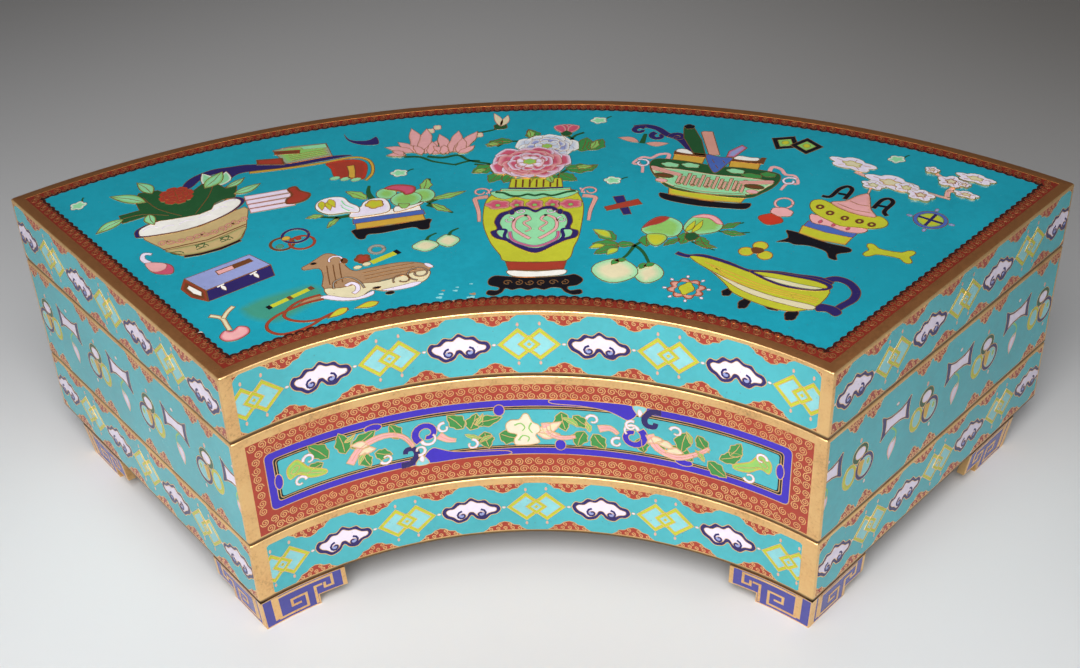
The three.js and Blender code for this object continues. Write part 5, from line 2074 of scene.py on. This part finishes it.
def draw_day_lily(pen):
    """A yellow-green trumpet flower, its mouth to the left."""
    pen.blob("lemon", [
        (-5.6, 0.2), (-5.0, 3.4), (-1.4, 5.4), (0.8, 3.2), (3.0, 0.2), (8.6, -3.0), (8.2, -5.2),
        (2.8, -4.6), (-1.4, -1.4), (-4.4, -2.2)], 6, fade=("lime", 1.0))
    pen.blob("lime", [(-4.2, 0.6), (-2.0, 3.0), (-0.4, 1.8), (-2.4, -0.4)], 7)
    pen.stroke([(-1, -0.6), (2.4, -2.2), (7.4, -4.0)], 0.3, 7, steps=3)


def draw_white_flower(pen):
    """A white flower with curled petals and a shaded heart."""
    pen.blob("ivory", [
        (-7.4, 1.8), (-5.6, 4.0), (-2.6, 4.2), (-1.0, 6.6), (0.8, 6.4), (2.2, 3.0), (4.4, 1.6), (4.8, -1.2),
        (3.2, -3.0), (4.6, -6.2), (0.6, -7.4), (-4.2, -7.2), (-4.6, -4.4), (-3.6, -2.6), (-6.6, -1.4)], 8)
    for turn, long in ((-62, 11), (-95, 9)):
        with pen.at(3, -1.6, turn):
            pen.cell("pink", leaf(long, 4.4, 0.8), 7, fade=("cream", 1.2))
    for path in (
            [(-4.2, 1.6), (-2.0, 2.4), (-0.6, 0.6), (-1.6, -1.0)], [(1.8, 2.6), (0.8, 0.2), (2.0, -2.0)],
            [(-3.0, -5.2), (-1.4, -3.0), (0.8, -4.0), (0.2, -5.8)]):
        pen.stroke(path, 0.6, 9, "lime", 0.4, steps=3)


class FANBOX_OT_scroll_panel(bpy.types.Operator):
    """Fill the front bed of the middle tray: red curls round a long scroll panel"""
    bl_idname = "fanbox.scroll_panel"
    bl_label = "Front scroll panel"

    def execute(self, context):
        plan = FanPlan()
        floor, top = plan.tiers["middle_tray"]
        low, high = mm("thin_rim"), top - floor - mm("mouth_rim")
        half = plan.front - front_post("middle_tray")
        middle = PANEL_MIDDLE
        pen = Inlay()
        pen.cell("red", oblong(2 * half, low, high), 0, wire=0.3, root=mm("bed") - BED_GAP)
        draw_scroll_panel(pen, middle)
        draw_panel_flowers(pen, middle)
        pen.slice_every(SLICE, half)
        curl = curl_pattern(*PANEL_CURL)
        rows = [low + 2.0, low + 5.4, high - 5.3, high - 1.9]
        columns = int(half / CURL_PITCH)
        for row, v in enumerate(rows):
            for k in range(-columns, columns + 1):
                u = (k + (0.5 if row % 2 else 0)) * CURL_PITCH
                if abs(u) < half - 1.8:
                    pen.stamp(curl, u, v, turn=90 * (k % 4))
        for u in (-half + 2.9, half - 2.0, half - 5.6):
            for k in range(7):
                pen.stamp(curl, u, middle + (k - 3) * 3.55, turn=90 * k)
        pen.piece("middle_tray_front_enamel", front_surface(plan, floor), "picture_enamels")
        return {"FINISHED"}


# ---- feet ----

def foot_surface(plan, side, facing, radius, along_arc):
    """A wing's pattern, with u counted from the corner, laid on the arc or on the straight side."""
    sin, cos = math.sin(plan.angle), math.cos(plan.angle)
    top = plan.tiers["base_tray"][0]
    lean = mm("foot_lean")
    shift = np.array([side * lean * (facing * sin - cos), lean * (facing * cos + sin)])

    def lay(u, v, w):
        if along_arc:
            a, r = side * (plan.angle - u / radius), radius - facing * w
            x, y = r * np.sin(a), r * np.cos(a)
        else:
            r = radius + facing * u
            x, y = side * (r * sin + w * cos), r * cos - w * sin
        drop = 1 - v / top
        return np.stack([x + shift[0] * drop, y + shift[1] * drop + plan.centre_y, v], 1)
    return lay


def draw_foot_wing(pen, top, start):
    """One wing of a bracket foot with its fret of bare gilt lines."""
    toe, wing, hook = mm("foot_toe"), mm("foot_wing"), mm("foot_hook")
    outline = [(start, 0), (toe, 0), (toe, hook), (wing, hook), (wing, top), (start, top)]
    pen.cell("slate", outline, 0, wire=0.5, root=mm("foot_thickness"))
    pen.line([(5.3, 2.0), (5.3, top - 0.6)], 2.8, 1)
    fret = [
        [(6.0, 2.0), (17.2, 2.0), (17.2, 9.0), (11.4, 9.0), (11.4, 5.6), (14.4, 5.6)],
        [(6.0, top - 1.4), (27.6, top - 1.4), (27.6, 8.0), (24.6, 8.0), (24.6, 10.2)],
        [(20.8, 1.4), (20.8, 10.2), (23.2, 10.2)]]
    for path in fret:
        square_line(pen, path, FRET_WIDTH)
    pen.line([(wing - 1.0, hook + 0.4), (wing - 1.0, top - 0.4)], 1.3, 1)


def square_line(pen, path, width):
    """Bare gilt line with square corners, one straight cell for each run."""
    for k, (a, b) in enumerate(zip(path, path[1:])):
        run = Vector(b) - Vector(a)
        stretch = run.normalized() * width / 2
        pen.line([Vector(a) - stretch, Vector(b) + stretch], width, 1 + 0.15 * k)


class FANBOX_OT_feet(bpy.types.Operator):
    """Build the four bracket feet with their frets"""
    bl_idname = "fanbox.feet"
    bl_label = "Bracket feet"

    def execute(self, context):
        plan = FanPlan()
        top = plan.tiers["base_tray"][0] - mm("fit_gap")
        for facing, row in ((1, "front"), (-1, "back")):
            radius = plan.inner if facing > 0 else mm("back_foot_radius")
            for side, hand in ((1, "right"), (-1, "left")):
                whole = bmesh.new()
                for along_arc in (True, False):
                    pen = Inlay()
                    draw_foot_wing(pen, top, 0.0 if along_arc else 0.05)
                    pen.slice_every(SLICE, mm("foot_wing"))
                    lay = foot_surface(plan, side, facing, radius, along_arc)
                    whole.from_mesh(mesh_from(pen.bm, "wing", lay))
                bmesh.ops.recalc_face_normals(whole, faces=whole.faces)
                mesh = bpy.data.meshes.new(f"foot_{row}_{hand}_body")
                whole.to_mesh(mesh)
                whole.free()
                link_piece(
                    mesh.name, mesh, [fired_enamel(), gilding()], "cobalt_enamel", f"foot_{row}_{hand}")
        return {"FINISHED"}


# ---- stage ----

def sweep_material():
    """Pale backdrop colour with painted light: it darkens up the backdrop and to the right as a painted
    falloff of the light, with a painted pool of light behind the box and painted shade on the floor in
    front of it.
    """
    material = bpy.data.materials.new("pale sweep with painted light")
    material.use_nodes = True
    bench = NodeBench(material.node_tree)
    shader = material.node_tree.nodes["Principled BSDF"]
    shader.inputs["Roughness"].default_value = 0.9
    place = bench.add("ShaderNodeTexCoord").outputs["Object"]
    parts = bench.add("ShaderNodeSeparateXYZ")
    bench.join(place, parts.inputs[0])
    # Darker towards the back and to the right: painted falloff of the light over the floor and backdrop
    along = bench.math("ADD", parts.outputs["Y"], bench.math("MULTIPLY", parts.outputs["X"], 0.25))
    back = bench.ramp(along, -0.16, 0.6, 0.0, 1.0)
    paper_and_painted_light = bench.mix(back, (*srgb("F0F0F0"), 1), (*srgb("9A958F"), 1))
    # A painted pool of light on the backdrop behind the box, then painted shade on the floor in front of
    # the box
    for spot, reach, strength, tint, blend in (
            ((-0.08, 0.45, 0), (0.45, 0.4, 1), 0.45, "E8E6E4", "MIX"),
            ((0, -0.15, 0), (0.26, 0.24, 1), 1.0, "D8D8D8", "MULTIPLY")):
        place_on = bench.add("ShaderNodeMapping")
        place_on.vector_type = "TEXTURE"
        place_on.inputs["Location"].default_value = spot
        place_on.inputs["Scale"].default_value = reach
        bench.join(place, place_on.inputs["Vector"])
        pool = bench.add("ShaderNodeTexGradient")
        pool.gradient_type = "SPHERICAL"
        bench.join(place_on.outputs[0], pool.inputs["Vector"])
        share = bench.ramp(pool.outputs["Fac"], 0.0, 1.0, 0.0, strength)
        paper_and_painted_light = bench.mix(share, paper_and_painted_light, (*srgb(tint), 1), blend)
    bench.join(paper_and_painted_light, shader.inputs["Base Color"])
    return material


class FANBOX_OT_stage(bpy.types.Operator):
    """Set up the pale sweep, the soft lights and the camera"""
    bl_idname = "fanbox.stage"
    bl_label = "Stage"

    def execute(self, context):
        stage = context.scene.box_stage
        bm = bmesh.new()
        floor_end, bend = 1.6, 1.2
        profile = [(-3.0, 0.0), (floor_end, 0.0)]
        for a in np.radians(np.arange(6, 91, 6)):
            profile.append((floor_end + bend * math.sin(a), bend - bend * math.cos(a)))
        profile.append((floor_end + bend, 4.0))
        verts = [bm.verts.new((-4, y, z)) for y, z in profile]
        edges = [bm.edges.new(pair) for pair in zip(verts, verts[1:])]
        made = bmesh.ops.extrude_edge_only(bm, edges=edges)["geom"]
        bmesh.ops.translate(bm, verts=[g for g in made if isinstance(g, bmesh.types.BMVert)], vec=(8, 0, 0))
        bmesh.ops.recalc_face_normals(bm, faces=bm.faces)
        if sum(f.normal.z for f in bm.faces) < 0:
            bmesh.ops.reverse_faces(bm, faces=bm.faces)
        mesh = bpy.data.meshes.new("sweep")
        bm.to_mesh(mesh)
        bm.free()
        mesh.materials.append(sweep_material())
        mesh.shade_smooth()
        sweep = bpy.data.objects.new("sweep", mesh)
        context.scene.collection.objects.link(sweep)
        for name, place, target, size, spread, power in (
                ("front softbox", (-0.35, -1.9, 0.75), (0, 0, 0.05), 1.2, 180, stage.key_power),
                ("side softbox", (-1.3, -0.3, 0.25), (-0.15, 0.05, 0.05), 0.6, 60, stage.side_power),
                ("overhead softbox", (-0.02, -0.36, 0.45), (-0.01, -0.08, 0.1), 0.4, 100, stage.top_power)):
            lamp = bpy.data.lights.new(name, "AREA")
            lamp.size, lamp.energy, lamp.spread = size, power, math.radians(spread)
            lamp_object = bpy.data.objects.new(name, lamp)
            aim = (Vector(target) - Vector(place)).to_track_quat("-Z", "Y")
            lamp_object.matrix_world = Matrix.Translation(place) @ aim.to_matrix().to_4x4()
            lamp_object.visible_camera = False
            context.scene.collection.objects.link(lamp_object)
        room = bpy.data.worlds.new("room")
        room.use_nodes = True
        room.node_tree.nodes["Background"].inputs["Color"].default_value = (0.9, 0.93, 1.0, 1)
        room.node_tree.nodes["Background"].inputs["Strength"].default_value = stage.ambient
        context.scene.world = room
        camera = bpy.data.cameras.new("camera")
        camera.lens, camera.sensor_width, camera.clip_start = stage.lens, 36.0, 0.01
        camera_object = bpy.data.objects.new("camera", camera)
        turned = Matrix.Identity(4)
        for angle, axis in ((stage.azimuth, "Z"), (math.pi / 2 - stage.elevation, "X"), (stage.roll, "Z")):
            turned = turned @ Matrix.Rotation(angle, 4, axis)
        camera_object.matrix_world = Matrix.Translation(stage.camera_place) @ turned
        context.scene.collection.objects.link(camera_object)
        context.scene.camera = camera_object
        context.scene.view_settings.view_transform = "Standard"
        return {"FINISHED"}


# ---- panel and running ----

OPERATORS = (
    FANBOX_OT_tiers, FANBOX_OT_lid_ground, FANBOX_OT_vase, FANBOX_OT_basin, FANBOX_OT_scholar_things,
    FANBOX_OT_flower_tray, FANBOX_OT_magnolia, FANBOX_OT_ram, FANBOX_OT_cauldron, FANBOX_OT_peaches,
    FANBOX_OT_ewer, FANBOX_OT_censer, FANBOX_OT_charms, FANBOX_OT_lid_walls, FANBOX_OT_scroll_panel,
    FANBOX_OT_middle_walls, FANBOX_OT_base_walls, FANBOX_OT_feet, FANBOX_OT_stage)


class FANBOX_PT_panel(bpy.types.Panel):
    """The box's operators, in the order in which they build it"""
    bl_idname = "FANBOX_PT_panel"
    bl_label = "Fan-shaped enamel box"
    bl_space_type = "VIEW_3D"
    bl_region_type = "UI"
    bl_category = "Enamel Box"

    def draw(self, context):
        for operator in OPERATORS:
            self.layout.operator(operator.bl_idname)


GROUPS = {"fan_box_sizes": FanBoxSizes, "enamel_colours": EnamelColours, "box_stage": BoxStage}
CLASSES = (*GROUPS.values(), *OPERATORS, FANBOX_PT_panel)


def register():
    for cls in CLASSES:
        bpy.utils.register_class(cls)
    for name, group in GROUPS.items():
        setattr(bpy.types.Scene, name, bpy.props.PointerProperty(type=group))


def unregister():
    for name in GROUPS:
        delattr(bpy.types.Scene, name)
    for cls in reversed(CLASSES):
        bpy.utils.unregister_class(cls)


def main():
    register()
    for operator in OPERATORS:
        group, name = operator.bl_idname.split(".")
        getattr(getattr(bpy.ops, group), name)()


if __name__ == "__main__":
    main()
